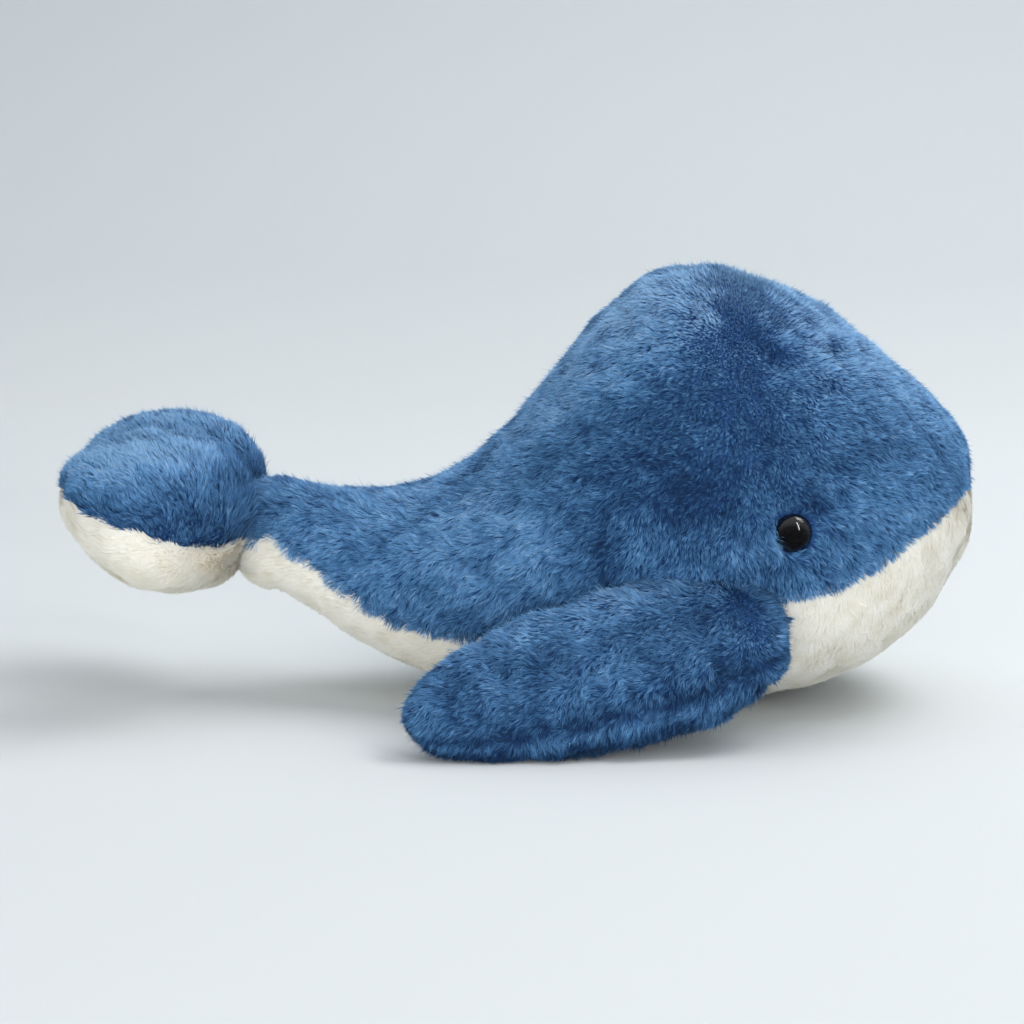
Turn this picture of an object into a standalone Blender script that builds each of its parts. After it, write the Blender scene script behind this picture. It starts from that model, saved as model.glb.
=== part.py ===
# Plush whale: a stuffed toy of long-pile plush that rests on its belly.
# The frame has +X towards the snout, +Y to the whale's left and +Z up. Its origin lies on the
# floor, halfway between the snout and the back edge of the fluke. Lengths are in metres.

import math

import bmesh
import bpy
import numpy as np
from mathutils import Matrix, Vector

# The whole toy
TOTAL_LENGTH = 0.344
BODY_HEIGHT = 0.163
BODY_WIDTH = 0.154

# Cloth: a woven backing with the pile that stands on it
BACKING = 0.0013
PILE = 0.0047
PLUSH = BACKING + PILE
SEAM_GAP = 0.0003
SEAM_SINK = 0.0018
SEAM_REACH = 0.009
FIT_GAP = 0.0003
FLAT_DEPTH = 0.0005

# Tail: it ends in a ball, which the fluke's seat turns about
TAIL_HEIGHT = 0.0615
TAIL_RADIUS = 0.0225
TAIL_SEAM_SHARE = 0.02

# Fluke: two stuffed lobes
FLUKE_CHORD = 0.072
FLUKE_SPAN = 0.142
FLUKE_THICKNESS = 0.058
FLUKE_RISE = 0.0145
FLUKE_TILT_DEG = 17.0
FLUKE_LIP_DEG = 63.0
FLUKE_SEAM_DEG = 8.0
LOBE_FULLNESS = 0.20
FLUKE_BEND_DEG = 25.0

# Flippers: flat ovals, each with a ball in its front end that sits in the flank
FLIPPER_LENGTH = 0.141
FLIPPER_WIDTH = 0.062
FLIPPER_THICKNESS = 0.024
FLIPPER_SHOULDER = 0.043
FLIPPER_FRONT = 0.0145
FLIPPER_BALL_RADIUS = 0.0115
FLIPPER_BALL_SINK = 0.0042
FLIPPER_ROOT_X = 0.081
FLIPPER_ROOT_HEIGHT = 0.042
FLIPPER_ROLL_DEG = 40.0
FLIPPER_SPREAD_DEG = 12.0
FLIPPER_SEAM_DEG = 52.0
FLIPPER_SWING_DEG = 55.0

# Safety eyes: a domed head on a ribbed shank, held by a toothed washer
EYE_X = 0.0976
EYE_HEIGHT = 0.0735
EYE_RADIUS = 0.0070
EYE_DOME = 0.0048
EYE_RIM = 0.0008
EYE_SOCKET_FLARE = 0.0022
SHANK_RADIUS = 0.0016
SHANK_LENGTH = 0.0150
RIB_RADIUS = 0.0023
RIB_PITCH = 0.0026
RIB_LENGTH = 0.0008
WASHER_RADIUS = 0.0070
WASHER_THICKNESS = 0.0010
WASHER_RIM = 0.0012
WASHER_TOOTH_LENGTH = 0.0022
WASHER_SLOT = 0.0007
WASHER_TEETH = 6

# How finely the forms are drawn
RIB_STEPS = 2
BALL_STEPS = 3
DOME_STEPS = 6
BACK_COLUMNS = 10
BELLY_COLUMNS = 4
FLIPPER_COLUMNS = 6
LOBE_COLUMNS = 8
SECTION_POINTS = 48
TURNED_SEGMENTS = 20
BALL_SEGMENTS = 24
DROOP_STEPS = 20
SLOPE_REACH = 0.009
MERGE_DISTANCE = 0.00003
SHARP_DEG = 40.0

# Ribs of the body from the snout to the tail ball. Each row has the place along the body, then
# the top, the bottom, the blue and white seam and the widest level as shares of the height, the
# half width as a share of the body's, and the fullness of the lower half, which is 2 on an oval.
BODY_RIB_SHARES = [
    (1.000, 0.490, 0.490, 0.490, 0.490, 0.00, 2.0),
    (0.987, 0.602, 0.358, 0.500, 0.486, 0.33, 2.0),
    (0.946, 0.692, 0.236, 0.472, 0.478, 0.60, 2.1),
    (0.882, 0.786, 0.128, 0.408, 0.468, 0.80, 2.1),
    (0.787, 0.902, 0.044, 0.328, 0.454, 0.94, 2.2),
    (0.675, 0.983, 0.004, 0.292, 0.436, 1.00, 2.2),
    (0.558, 1.000, 0.000, 0.264, 0.420, 0.99, 2.2),
    (0.463, 0.896, 0.000, 0.236, 0.395, 0.93, 2.2),
    (0.382, 0.734, 0.000, 0.205, 0.350, 0.83, 2.2),
    (0.297, 0.586, 0.014, 0.180, 0.298, 0.68, 2.2),
    (0.200, 0.500, 0.056, 0.182, 0.272, 0.53, 2.1),
    (0.098, 0.484, 0.140, 0.262, 0.312, 0.39, 2.0),
]

# Sections of a fluke lobe from the middle of the fluke to the tip: the place along the half
# span, then the front edge, the chord, the thickness and the rise as shares of the lobe's.
LOBE_SECTION_SHARES = [
    (0.00, 0.00, 0.68, 0.70, 0.10),
    (0.16, -0.01, 0.84, 0.86, 0.48),
    (0.34, -0.03, 1.00, 1.00, 0.95),
    (0.52, 0.00, 0.98, 0.98, 1.00),
    (0.70, 0.09, 0.83, 0.84, 0.96),
    (0.86, 0.22, 0.58, 0.60, 0.88),
    (0.96, 0.36, 0.30, 0.33, 0.82),
    (1.00, 0.50, 0.00, 0.00, 0.80),
]

# Sections of a flipper behind its ball's centre: the place along the length there, then the
# half width as a share of what it gains over the shoulder's, and the half thickness as a share
# of what it gains over the ball's radius.
FLIPPER_RISE_SHARES = [
    (0.00, 0.00, 0.00),
    (0.07, 0.52, 0.30),
    (0.18, 0.92, 0.75),
    (0.32, 1.00, 1.00),
]

# Sections from the flipper's widest place to its tip, as shares of its half width and thickness.
FLIPPER_FALL_SHARES = [
    (0.53, 0.94, 1.00),
    (0.74, 0.79, 0.90),
    (0.88, 0.60, 0.74),
    (0.97, 0.34, 0.46),
    (1.00, 0.00, 0.00),
]

COLOURS = {
    "blue plush": (0.060, 0.170, 0.370, 1.0),
    "cream plush": (0.780, 0.755, 0.660, 1.0),
    "fibrefill": (0.850, 0.850, 0.830, 1.0),
    "black plastic": (0.006, 0.006, 0.007, 1.0),
    "clear plastic": (0.700, 0.720, 0.730, 1.0),
}
ROUGHNESS = {
    "blue plush": 0.95,
    "cream plush": 0.95,
    "fibrefill": 1.00,
    "black plastic": 0.08,
    "clear plastic": 0.35,
}

# Places that follow from the sizes above
SNOUT_X = TOTAL_LENGTH / 2
CREASE_X = FLUKE_CHORD - TOTAL_LENGTH / 2
TAIL_X = CREASE_X + TAIL_RADIUS * math.cos(math.radians(FLUKE_LIP_DEG))
TAIL_CENTRE = Vector((TAIL_X, 0.0, TAIL_HEIGHT))
SIDE_AXIS = Vector((0.0, 1.0, 0.0))


# Curves and grids


def smooth_rows(rows, before, after, steps):
    """Rows of a smooth curve through the given rows, with a guiding row past each end."""
    guided = np.array([before, *rows, after], float)
    out = []
    for a, b, c, d in zip(guided, guided[1:], guided[2:], guided[3:]):
        for t in np.arange(steps) / steps:
            slope_b = (c - a) / 2
            slope_c = (d - b) / 2
            rise = c - b
            out.append(
                b + slope_b * t + (3 * rise - 2 * slope_b - slope_c) * t**2
                + (slope_b + slope_c - 2 * rise) * t**3
            )
    out.append(guided[-2])
    return out


def resampled(line, shares):
    """Points at shares of the length of a line of points."""
    steps = np.linalg.norm(np.diff(line, axis=0), axis=1)
    along = np.concatenate([[0.0], np.cumsum(steps)])
    wanted = np.asarray(shares) * along[-1]
    return np.stack([np.interp(wanted, along, line[:, k]) for k in range(3)], axis=1)


def eased(count):
    """Shares from 0 to 1 that lie closer together at both ends."""
    return (1 - np.cos(np.linspace(0, math.pi, count + 1))) / 2


def half_eased(count):
    """Shares from 0 to 1 that lie a little closer together at both ends."""
    return (eased(count) + np.linspace(0, 1, count + 1)) / 2


def eased_start(count):
    """Shares from 0 to 1 that lie closer together at the start."""
    return 1 - np.cos(np.linspace(0, math.pi / 2, count + 1))


def limb_turns(columns, front, back):
    """Turns over a limb's first panel, from its front seam to its back one, and its second."""
    first = front + (back - front) * eased(columns)
    second = back + (math.tau + front - back) * eased(columns)
    return first, second


def whole_turns(turns):
    """Turns right round a limb, at the columns of both its panels."""
    return np.concatenate([part[:-1] for part in turns])


def mirrored(points):
    """The same points on the whale's other side."""
    return points * np.array([1.0, -1.0, 1.0])


def drawn_in(rows, distance):
    """Rows of a panel whose first and last points stand back from the seams beside them."""
    out = []
    for row in rows:
        row = row.copy()
        if len(row) > 1:
            for end, beside in ((0, 1), (-1, -2)):
                way = row[beside] - row[end]
                row[end] = row[end] + way * min(1.0, distance / np.linalg.norm(way))
        out.append(row)
    return out


def stood_back(pole, row):
    """The end of a panel that comes to a point, a little way from the pole into the panel."""
    way = row[len(row) // 2] - pole
    return np.array([pole + way * (2 * SEAM_GAP / np.linalg.norm(way))])


# Meshes


def mesh_of(vertices, faces):
    """A closed mesh of lists of points and faces, with its faces pointing out."""
    bm = bmesh.new()
    made = [bm.verts.new(p) for p in vertices]
    for face in faces:
        bm.faces.new([made[k] for k in face])
    bmesh.ops.remove_doubles(bm, verts=bm.verts, dist=MERGE_DISTANCE)
    bmesh.ops.recalc_face_normals(bm, faces=bm.faces)
    mesh = bpy.data.meshes.new("mesh")
    bm.to_mesh(mesh)
    bm.free()
    return mesh


def strip_faces(first, second, closed):
    """Faces between two rows of point numbers. A row of one point makes a fan."""
    count = max(len(first), len(second))
    last = count if closed else count - 1
    faces = []
    for k in range(last):
        n = (k + 1) % count
        if len(first) == 1:
            faces.append((first[0], second[k], second[n]))
        elif len(second) == 1:
            faces.append((first[k], second[0], first[n]))
        else:
            faces.append((first[k], second[k], second[n], first[n]))
    return faces


def numbered(rows, vertices):
    """Add rows of points to the vertices, and give the rows of their numbers."""
    out = []
    for row in rows:
        start = len(vertices)
        vertices.extend(tuple(p) for p in row)
        out.append(list(range(start, len(vertices))))
    return out


def panel_mesh(outer_rows, inner_rows):
    """A cloth panel between an outer and an inner grid of points."""
    vertices = []
    outer = numbered(outer_rows, vertices)
    inner = numbered(inner_rows, vertices)
    faces = []
    for grid in (outer, inner):
        for first, second in zip(grid, grid[1:]):
            faces += strip_faces(first, second, closed=False)
    for side in (0, -1):
        for k in range(len(outer) - 1):
            faces.append((outer[k][side], outer[k + 1][side], inner[k + 1][side], inner[k][side]))
    for end in (0, -1):
        if len(outer[end]) > 1:
            faces += strip_faces(outer[end], inner[end], closed=False)
    return mesh_of(vertices, faces)


def form_mesh(rings):
    """A closed form through rings of points, whose ends are poles or flat ends."""
    vertices = []
    numbers = numbered(rings, vertices)
    faces = []
    for first, second in zip(numbers, numbers[1:]):
        faces += strip_faces(first, second, closed=True)
    for end in (0, -1):
        if len(numbers[end]) > 1:
            faces.append(tuple(numbers[end]))
    return mesh_of(vertices, faces)


def turned_mesh(profile, segments):
    """A solid turned about Z from points of radius and height, from one axis end to the other."""
    rings = []
    for radius, height in profile:
        count = 1 if radius == 0 else segments
        turns = [math.tau * k / count for k in range(count)]
        rings.append(np.array([(radius * math.cos(t), radius * math.sin(t), height) for t in turns]))
    return form_mesh(rings)


def ring_mesh(profile, segments):
    """A ring turned about Z from a closed loop of points of radius and height."""
    vertices = []
    faces = []
    count = len(profile)
    for k in range(segments):
        turn = math.tau * k / segments
        vertices += [(r * math.cos(turn), r * math.sin(turn), z) for r, z in profile]
    for k in range(segments):
        n = (k + 1) % segments
        for p in range(count):
            q = (p + 1) % count
            faces.append((k * count + p, k * count + q, n * count + q, n * count + p))
    return mesh_of(vertices, faces)


def ball_mesh(radius, centre, axis):
    """A ball whose poles lie on the axis."""
    steps = BALL_SEGMENTS // 2
    arc = [math.pi * k / steps for k in range(1, steps)]
    profile = [(0, -radius)]
    profile += [(radius * math.sin(a), -radius * math.cos(a)) for a in arc]
    profile += [(0, radius)]
    mesh = turned_mesh(profile, BALL_SEGMENTS)
    mesh.transform(facing(centre, axis))
    return mesh


def facing(place, axis):
    """The placing that turns +Z to the axis and moves the origin to the place."""
    turn = Vector((0, 0, 1)).rotation_difference(axis)
    return Matrix.Translation(place) @ turn.to_matrix().to_4x4()


def welded(mesh):
    """The mesh with the tiny edges closed up that a cut leaves where shapes cross."""
    bm = bmesh.new()
    bm.from_mesh(mesh)
    bmesh.ops.triangulate(bm, faces=bm.faces)
    bmesh.ops.remove_doubles(bm, verts=bm.verts, dist=MERGE_DISTANCE)
    bmesh.ops.dissolve_degenerate(bm, edges=bm.edges, dist=MERGE_DISTANCE)
    bmesh.ops.triangulate(bm, faces=bm.faces)
    bm.to_mesh(mesh)
    bm.free()
    return mesh


def combined(mesh, others, operation):
    """The mesh joined with other shapes, or cut by them, one after another."""
    for other in others:
        body = bpy.data.objects.new("body", mesh)
        tool = bpy.data.objects.new("tool", other)
        for item in (body, tool):
            bpy.context.scene.collection.objects.link(item)
        boolean = body.modifiers.new("shape", "BOOLEAN")
        boolean.operation = operation
        boolean.solver = "EXACT"
        boolean.object = tool
        bpy.context.view_layer.update()
        shaped = body.evaluated_get(bpy.context.evaluated_depsgraph_get())
        mesh = bpy.data.meshes.new_from_object(shaped)
        for item in (body, tool):
            bpy.data.objects.remove(item)
    return welded(mesh)


def cut(mesh, cutters):
    """The mesh with the cutters' shapes taken away."""
    return combined(mesh, cutters, "DIFFERENCE")


def joined(meshes):
    """One shape from several that overlap."""
    return combined(meshes[0], meshes[1:], "UNION")


def cut_flat(mesh):
    """The mesh cut off level with the floor."""
    bm = bmesh.new()
    bm.from_mesh(mesh)
    geometry = bm.verts[:] + bm.edges[:] + bm.faces[:]
    floor = Vector((0.0, 0.0, 0.0))
    down = Vector((0.0, 0.0, -1.0))
    made = bmesh.ops.bisect_plane(
        bm, geom=geometry, dist=MERGE_DISTANCE, plane_co=floor, plane_no=down, clear_outer=True
    )
    rim = [e for e in made["geom_cut"] if isinstance(e, bmesh.types.BMEdge)]
    if rim:
        bmesh.ops.contextual_create(bm, geom=rim)
    bmesh.ops.recalc_face_normals(bm, faces=bm.faces)
    flat = bpy.data.meshes.new("mesh")
    bm.to_mesh(flat)
    bm.free()
    return welded(flat)


def mirrored_mesh(mesh):
    """A copy of the mesh on the whale's other side."""
    copy = mesh.copy()
    copy.transform(Matrix.Scale(-1, 4, SIDE_AXIS))
    copy.flip_normals()
    return copy


# The body's form


def body_ribs():
    """Rows of X, top, bottom, seam, widest level, half width and lower fullness."""
    length = SNOUT_X - TAIL_X
    rows = []
    for along, top, bottom, seam, widest, half, full in BODY_RIB_SHARES:
        rows.append((
            TAIL_X + along * length,
            top * BODY_HEIGHT,
            bottom * BODY_HEIGHT - FLAT_DEPTH,
            seam * BODY_HEIGHT,
            widest * BODY_HEIGHT,
            half * BODY_WIDTH / 2,
            full,
        ))
    rows[0] = (rows[0][0], rows[0][1], rows[0][1], rows[0][1], rows[0][1], 0, rows[0][-1])
    rows.append((
        TAIL_X,
        TAIL_HEIGHT + TAIL_RADIUS,
        TAIL_HEIGHT - TAIL_RADIUS,
        TAIL_HEIGHT + TAIL_RADIUS * TAIL_SEAM_SHARE,
        TAIL_HEIGHT,
        TAIL_RADIUS,
        2,
    ))
    x, top, bottom, seam, widest, half, full = rows[1]
    snout = rows[0][1]
    before = (x, bottom, top, 2 * snout - seam, 2 * snout - widest, -half, full)
    after = 2 * np.array(rows[-1]) - np.array(rows[-2])
    ribs = [tuple(row) for row in smooth_rows(rows, before, after, RIB_STEPS)]
    for k in range(1, BALL_STEPS):
        turn = math.pi / 2 * k / BALL_STEPS
        radius = TAIL_RADIUS * math.cos(turn)
        ribs.append((
            TAIL_X - TAIL_RADIUS * math.sin(turn),
            TAIL_HEIGHT + radius,
            TAIL_HEIGHT - radius,
            TAIL_HEIGHT + radius * TAIL_SEAM_SHARE,
            TAIL_HEIGHT,
            radius,
            2,
        ))
    return ribs[1:]


def half_section(rib):
    """Points round the right half of a rib, from its top to its bottom."""
    x, top, bottom, _, widest, half, full = rib
    turns = np.linspace(0, math.pi / 2, SECTION_POINTS)
    upper = [(x, -half * math.sin(t), widest + (top - widest) * math.cos(t)) for t in turns]
    lower = []
    for t in turns[1:]:
        out = math.cos(t) ** (2 / full) if t < turns[-1] else 0
        lower.append((x, -half * out, widest - (widest - bottom) * math.sin(t) ** (2 / full)))
    return np.array(upper + lower)


def body_half():
    """The right half of the body's form: rows of points and the column of the seam."""
    rows = []
    for rib in body_ribs():
        line = half_section(rib)
        seam = int(np.argmin(np.abs(line[:, 2] - rib[3])))
        back = resampled(line[: seam + 1], half_eased(BACK_COLUMNS))
        belly = resampled(line[seam:], eased_start(BELLY_COLUMNS))
        rows.append(np.concatenate([back, belly[1:]]))
    return np.array(rows)


def body_poles():
    """The snout's tip and the tail ball's back end."""
    snout = np.array([SNOUT_X, 0.0, BODY_RIB_SHARES[0][1] * BODY_HEIGHT])
    tail = np.array([TAIL_X - TAIL_RADIUS, 0.0, TAIL_HEIGHT])
    return snout, tail


def outward(rows):
    """Unit normals of the body's right half, pointing out."""
    snout, tail = body_poles()
    count = rows.shape[1]
    longer = np.concatenate([np.repeat([[snout]], count, axis=1), rows,
                             np.repeat([[tail]], count, axis=1)])
    along = longer[2:] - longer[:-2]
    wider = np.concatenate([mirrored(rows[:, 1:2]), rows, mirrored(rows[:, -2:-1])], axis=1)
    around = wider[:, 2:] - wider[:, :-2]
    normals = np.cross(along, around)
    normals /= np.linalg.norm(normals, axis=2, keepdims=True)
    middle = rows.shape[1] // 2
    if normals[len(rows) // 2, middle, 1] > 0:
        normals = -normals
    return normals


def seam_depths(rows):
    """How far each point of the body's right half sinks beside the seams."""
    steps = np.linalg.norm(np.diff(rows, axis=1), axis=2)
    along = np.concatenate([np.zeros((len(rows), 1)), np.cumsum(steps, axis=1)], axis=1)
    depth = np.zeros(along.shape)
    for column in (0, BACK_COLUMNS):
        away = (along - along[:, column:column + 1]) / SEAM_REACH
        depth = np.maximum(depth, np.exp(-(away**2)))
    girth_share = np.clip(along[:, -1:] / (math.pi * TAIL_RADIUS), 0, 1)
    return SEAM_SINK * depth * girth_share


def body_surface(inset, sink=False):
    """The body's right half moved in by the inset, with its snout and tail poles."""
    rows = body_half()
    moved = rows - inset * outward(rows)
    if sink:
        moved = moved - seam_depths(rows)[:, :, None] * outward(rows)
    snout, tail = body_poles()
    along = np.array([1.0, 0.0, 0.0])
    return moved, snout - inset * along, tail + inset * along


def whole_rings(rows, snout, tail, stride):
    """Rings right round the body, between its two poles, with every so many columns."""
    right = rows[:, ::stride] if stride > 1 else rows
    if (rows.shape[1] - 1) % stride:
        right = np.concatenate([right, rows[:, -1:]], axis=1)
    left = mirrored(right[:, 1:-1][:, ::-1])
    rings = [np.array([snout])]
    rings += list(np.concatenate([right, left], axis=1))
    rings += [np.array([tail])]
    return rings


def body_form(inset, stride=1):
    """A closed form of the whole body, moved in by the inset."""
    rows, snout, tail = body_surface(inset)
    return form_mesh(whole_rings(rows, snout, tail, stride))


def flank(x, height):
    """The point on the right flank at a place and a height, and the way out of the body."""
    ribs = np.array(body_ribs())[::-1]
    rib = [np.interp(x, ribs[:, 0], ribs[:, k]) for k in range(ribs.shape[1])]

    def side(rib, height):
        line = half_section(rib)[::-1]
        return np.interp(height, line[:, 2], line[:, 1])

    step = SLOPE_REACH
    ahead = [np.interp(x + step, ribs[:, 0], ribs[:, k]) for k in range(ribs.shape[1])]
    behind = [np.interp(x - step, ribs[:, 0], ribs[:, k]) for k in range(ribs.shape[1])]
    lean = (side(ahead, height) - side(behind, height)) / (2 * step)
    rise = (side(rib, height + step) - side(rib, height - step)) / (2 * step)
    point = Vector((x, side(rib, height), height))
    return point, Vector((lean, -1.0, rise)).normalized()


# The body's panels


def panel_rows(rows, snout, tail, columns):
    """Rows of one panel, from just inside it at the snout's tip to the same at the tail's."""
    chosen = [row[columns] for row in rows]
    ends = [stood_back(snout, chosen[0]), stood_back(tail, chosen[-1])]
    return [ends[0], *drawn_in(chosen, SEAM_GAP / 2), ends[1]]


def back_panel_mesh():
    """The right half of the blue back, from the middle seam to the white belly's seam."""
    columns = slice(0, BACK_COLUMNS + 1)
    outer = panel_rows(*body_surface(0, sink=True), columns)
    inner = panel_rows(*body_surface(PLUSH), columns)
    return panel_mesh(outer, inner)


def belly_panel_mesh():
    """The white panel under the chin and belly, from one blue edge to the other."""
    grids = []
    for inset, sink in ((0, True), (PLUSH, False)):
        rows, snout, tail = body_surface(inset, sink)
        right = rows[:, BACK_COLUMNS:]
        whole = np.concatenate([right, mirrored(right[:, :-1][:, ::-1])], axis=1)
        grids.append(panel_rows(whole, snout, tail, slice(None)))
    return panel_mesh(*grids)


# Safety eyes


def eye_frames():
    """The right and left eyes' placings: the flat back lies on the cloth, and +Z points out."""
    point, out = flank(EYE_X, EYE_HEIGHT)
    place = point - out * PILE
    other_side = Vector((1, -1, 1))
    return facing(place, out), facing(place * other_side, out * other_side)


def eye_mesh():
    """A domed head on a ribbed shank, in the eye's own frame."""
    profile = [(0, EYE_RIM + EYE_DOME)]
    for k in range(1, DOME_STEPS + 1):
        turn = math.pi / 2 * k / DOME_STEPS
        profile.append((EYE_RADIUS * math.sin(turn), EYE_RIM + EYE_DOME * math.cos(turn)))
    back = FIT_GAP
    profile += [(EYE_RADIUS, back), (SHANK_RADIUS, back)]
    for place in rib_places():
        profile += [
            (SHANK_RADIUS, place),
            (RIB_RADIUS, place - RIB_LENGTH / 2),
            (SHANK_RADIUS, place - RIB_LENGTH),
        ]
    profile += [(SHANK_RADIUS, SHANK_RADIUS - SHANK_LENGTH), (0, -SHANK_LENGTH)]
    return turned_mesh(profile, TURNED_SEGMENTS)


def washer_top():
    """The height of the washer's outer face, just under the cloth's backing."""
    return -BACKING - FIT_GAP


def rib_places():
    """Heights of the upper ends of the shank's ribs, the first just under the washer."""
    first = washer_top() - WASHER_RIM - FIT_GAP
    places = []
    place = first
    while place - RIB_PITCH > SHANK_RADIUS - SHANK_LENGTH:
        places.append(place)
        place -= RIB_PITCH
    return places


def washer_mesh():
    """A pressed washer with a stiff rim and teeth round its bore, in the eye's own frame."""
    top = washer_top()
    bore = SHANK_RADIUS + FIT_GAP
    rim_inner = WASHER_RADIUS - WASHER_THICKNESS
    loop = [
        (bore, top),
        (WASHER_RADIUS, top),
        (WASHER_RADIUS, top - WASHER_RIM),
        (rim_inner, top - WASHER_RIM),
        (rim_inner, top - WASHER_THICKNESS),
        (bore, top - WASHER_THICKNESS),
    ]
    washer = ring_mesh(loop, TURNED_SEGMENTS)
    reach = bore + WASHER_TOOTH_LENGTH
    slots = []
    for k in range(WASHER_TEETH):
        bm = bmesh.new()
        size = (reach, WASHER_SLOT, 4 * WASHER_THICKNESS)
        bmesh.ops.create_cube(bm, size=1, matrix=Matrix.Diagonal((*size, 1)))
        bmesh.ops.translate(bm, verts=bm.verts, vec=(reach / 2, 0, top - WASHER_THICKNESS / 2))
        slot = bpy.data.meshes.new("slot")
        bm.to_mesh(slot)
        bm.free()
        slot.transform(Matrix.Rotation(math.tau * (k + 1 / 4) / WASHER_TEETH, 4, "Z"))
        slots.append(slot)
    return cut(washer, slots)


def socket_mesh():
    """What the eye takes out of the cloth: parted pile, a hole, and a flat for the washer."""
    wide = EYE_RADIUS + FIT_GAP
    hole = RIB_RADIUS + FIT_GAP
    held = WASHER_RADIUS + FIT_GAP
    over = 2 * PILE
    profile = [
        (0, over),
        (wide + EYE_SOCKET_FLARE * over / PILE, over),
        (wide, 0),
        (hole, 0),
        (hole, -BACKING),
        (held, -BACKING),
        (held, -over),
        (0, -over),
    ]
    return turned_mesh(profile, TURNED_SEGMENTS)


def pocket_mesh():
    """The room that the washer and the shank take in the stuffing."""
    wide = WASHER_RADIUS + FIT_GAP
    hole = RIB_RADIUS + FIT_GAP
    floor = washer_top() - WASHER_RIM - FIT_GAP
    profile = [
        (0, PLUSH),
        (wide, PLUSH),
        (wide, floor),
        (hole, floor),
        (hole, -SHANK_LENGTH - FIT_GAP),
        (0, -SHANK_LENGTH - FIT_GAP),
    ]
    return turned_mesh(profile, TURNED_SEGMENTS)


# Flippers


def flipper_sections(inset):
    """Places, half widths and half thicknesses of the sections between the ends, less the inset."""
    front = FLIPPER_FRONT - inset
    length = FLIPPER_LENGTH - FLIPPER_FRONT - inset
    shoulder = FLIPPER_SHOULDER / 2 - inset
    ball = FLIPPER_BALL_RADIUS - inset
    half = FLIPPER_WIDTH / 2 - inset
    thick = FLIPPER_THICKNESS / 2 - inset
    rows = []
    for along, width_share, thick_share in FLIPPER_RISE_SHARES:
        rows.append((
            along * length,
            shoulder + (half - shoulder) * width_share,
            ball + (thick - ball) * thick_share,
        ))
    for along, width_share, thick_share in FLIPPER_FALL_SHARES:
        rows.append((along * length, half * width_share, thick * thick_share))
    before = (-rows[1][0], shoulder, ball)
    after = (rows[-2][0], -rows[-2][1], -rows[-2][2])
    body = smooth_rows(rows, before, after, RIB_STEPS)
    head = []
    for k in range(1, BALL_STEPS):
        turn = math.pi / 2 * k / BALL_STEPS
        head.append((-front * math.cos(turn), shoulder * math.sin(turn), ball * math.sin(turn)))
    return head + [tuple(row) for row in body[:-1]]


def flipper_ring(section, turns):
    """Points round a section, in the flipper's frame of length, width and thickness."""
    along, half, thick = section
    return np.array([(along, half * math.cos(t), thick * math.sin(t)) for t in turns])


def flipper_grid(inset, turns):
    """Rows of points over part of the flipper's surface, between its poles."""
    front = np.array([[inset - FLIPPER_FRONT, 0.0, 0.0]])
    tip = np.array([[FLIPPER_LENGTH - FLIPPER_FRONT - inset, 0.0, 0.0]])
    return [front, *(flipper_ring(s, turns) for s in flipper_sections(inset)), tip]


def flipper_panel_mesh(turns):
    """One of the flipper's panels, over the given turns round its sections."""
    grids = []
    for inset in (0, PLUSH):
        rows = flipper_grid(inset, turns)
        for end, beside in ((0, 1), (-1, -2)):
            rows[end] = stood_back(rows[end][0], rows[beside])
        grids.append(drawn_in(rows, SEAM_GAP / 2))
    return panel_mesh(*grids)


def flipper_stuffing_mesh(turns):
    """The fibrefill inside a flipper."""
    return form_mesh(flipper_grid(PLUSH + FIT_GAP, whole_turns(turns)))


def flipper_turn(droop):
    """The flipper's axes in the world: swept back, rolled out, spread and drooping."""
    base = Matrix(((-1, 0, 0), (0, 0, -1), (0, -1, 0))).transposed()
    roll = Matrix.Rotation(-math.radians(FLIPPER_ROLL_DEG), 3, "X")
    fall = Matrix.Rotation(-droop, 3, "Y")
    spread = Matrix.Rotation(math.radians(FLIPPER_SPREAD_DEG), 3, "Z")
    return spread @ fall @ roll @ base


def flipper_frame():
    """The right flipper's placing: its ball in the flank, and its edge on the floor."""
    point, out = flank(FLIPPER_ROOT_X, FLIPPER_ROOT_HEIGHT)
    centre = point + out * (FLIPPER_BALL_RADIUS - FLIPPER_BALL_SINK)
    turns = [math.tau * k / BALL_SEGMENTS for k in range(BALL_SEGMENTS)]
    surface = np.concatenate(flipper_grid(0, turns))
    low, high = -math.pi / 4, math.pi / 4
    for _ in range(DROOP_STEPS):
        droop = (low + high) / 2
        turned = surface @ np.array(flipper_turn(droop)).T
        if centre.z + turned[:, 2].min() > -FLAT_DEPTH:
            low = droop
        else:
            high = droop
    return Matrix.Translation(centre) @ flipper_turn((low + high) / 2).to_4x4()


def flipper_axis(frame):
    """The axis that the right flipper swings about, so that a positive turn lifts it."""
    return -frame.col[1].to_3d().normalized()


def turned_about(mesh, place, axis, swings):
    """Copies of a fixed shape as a piece meets it at each turn about a joint."""
    copies = []
    for swing in swings:
        copy = mesh.copy()
        turn = Matrix.Rotation(-swing, 4, axis)
        copy.transform(Matrix.Translation(place) @ turn @ Matrix.Translation(-place))
        copies.append(copy)
    return copies


# Fluke


def lobe_sections(inset):
    """Places, front edges, chords, thicknesses and heights along a lobe, less the inset."""
    span = FLUKE_SPAN / 2 - inset
    rows = []
    for along, front, chord, thick, rise in LOBE_SECTION_SHARES:
        rows.append((
            along * span,
            CREASE_X - front * FLUKE_CHORD - chord * FLUKE_CHORD / 2,
            chord * (FLUKE_CHORD - 2 * inset) / 2,
            thick * (FLUKE_THICKNESS - 2 * inset) / 2,
            TAIL_HEIGHT + rise * FLUKE_RISE,
        ))
    along, centre, half, thick, height = rows[-2]
    after = (along, centre, -half, -thick, height)
    before = (-rows[1][0], *rows[1][1:])
    return smooth_rows(rows, before, after, RIB_STEPS)


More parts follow.
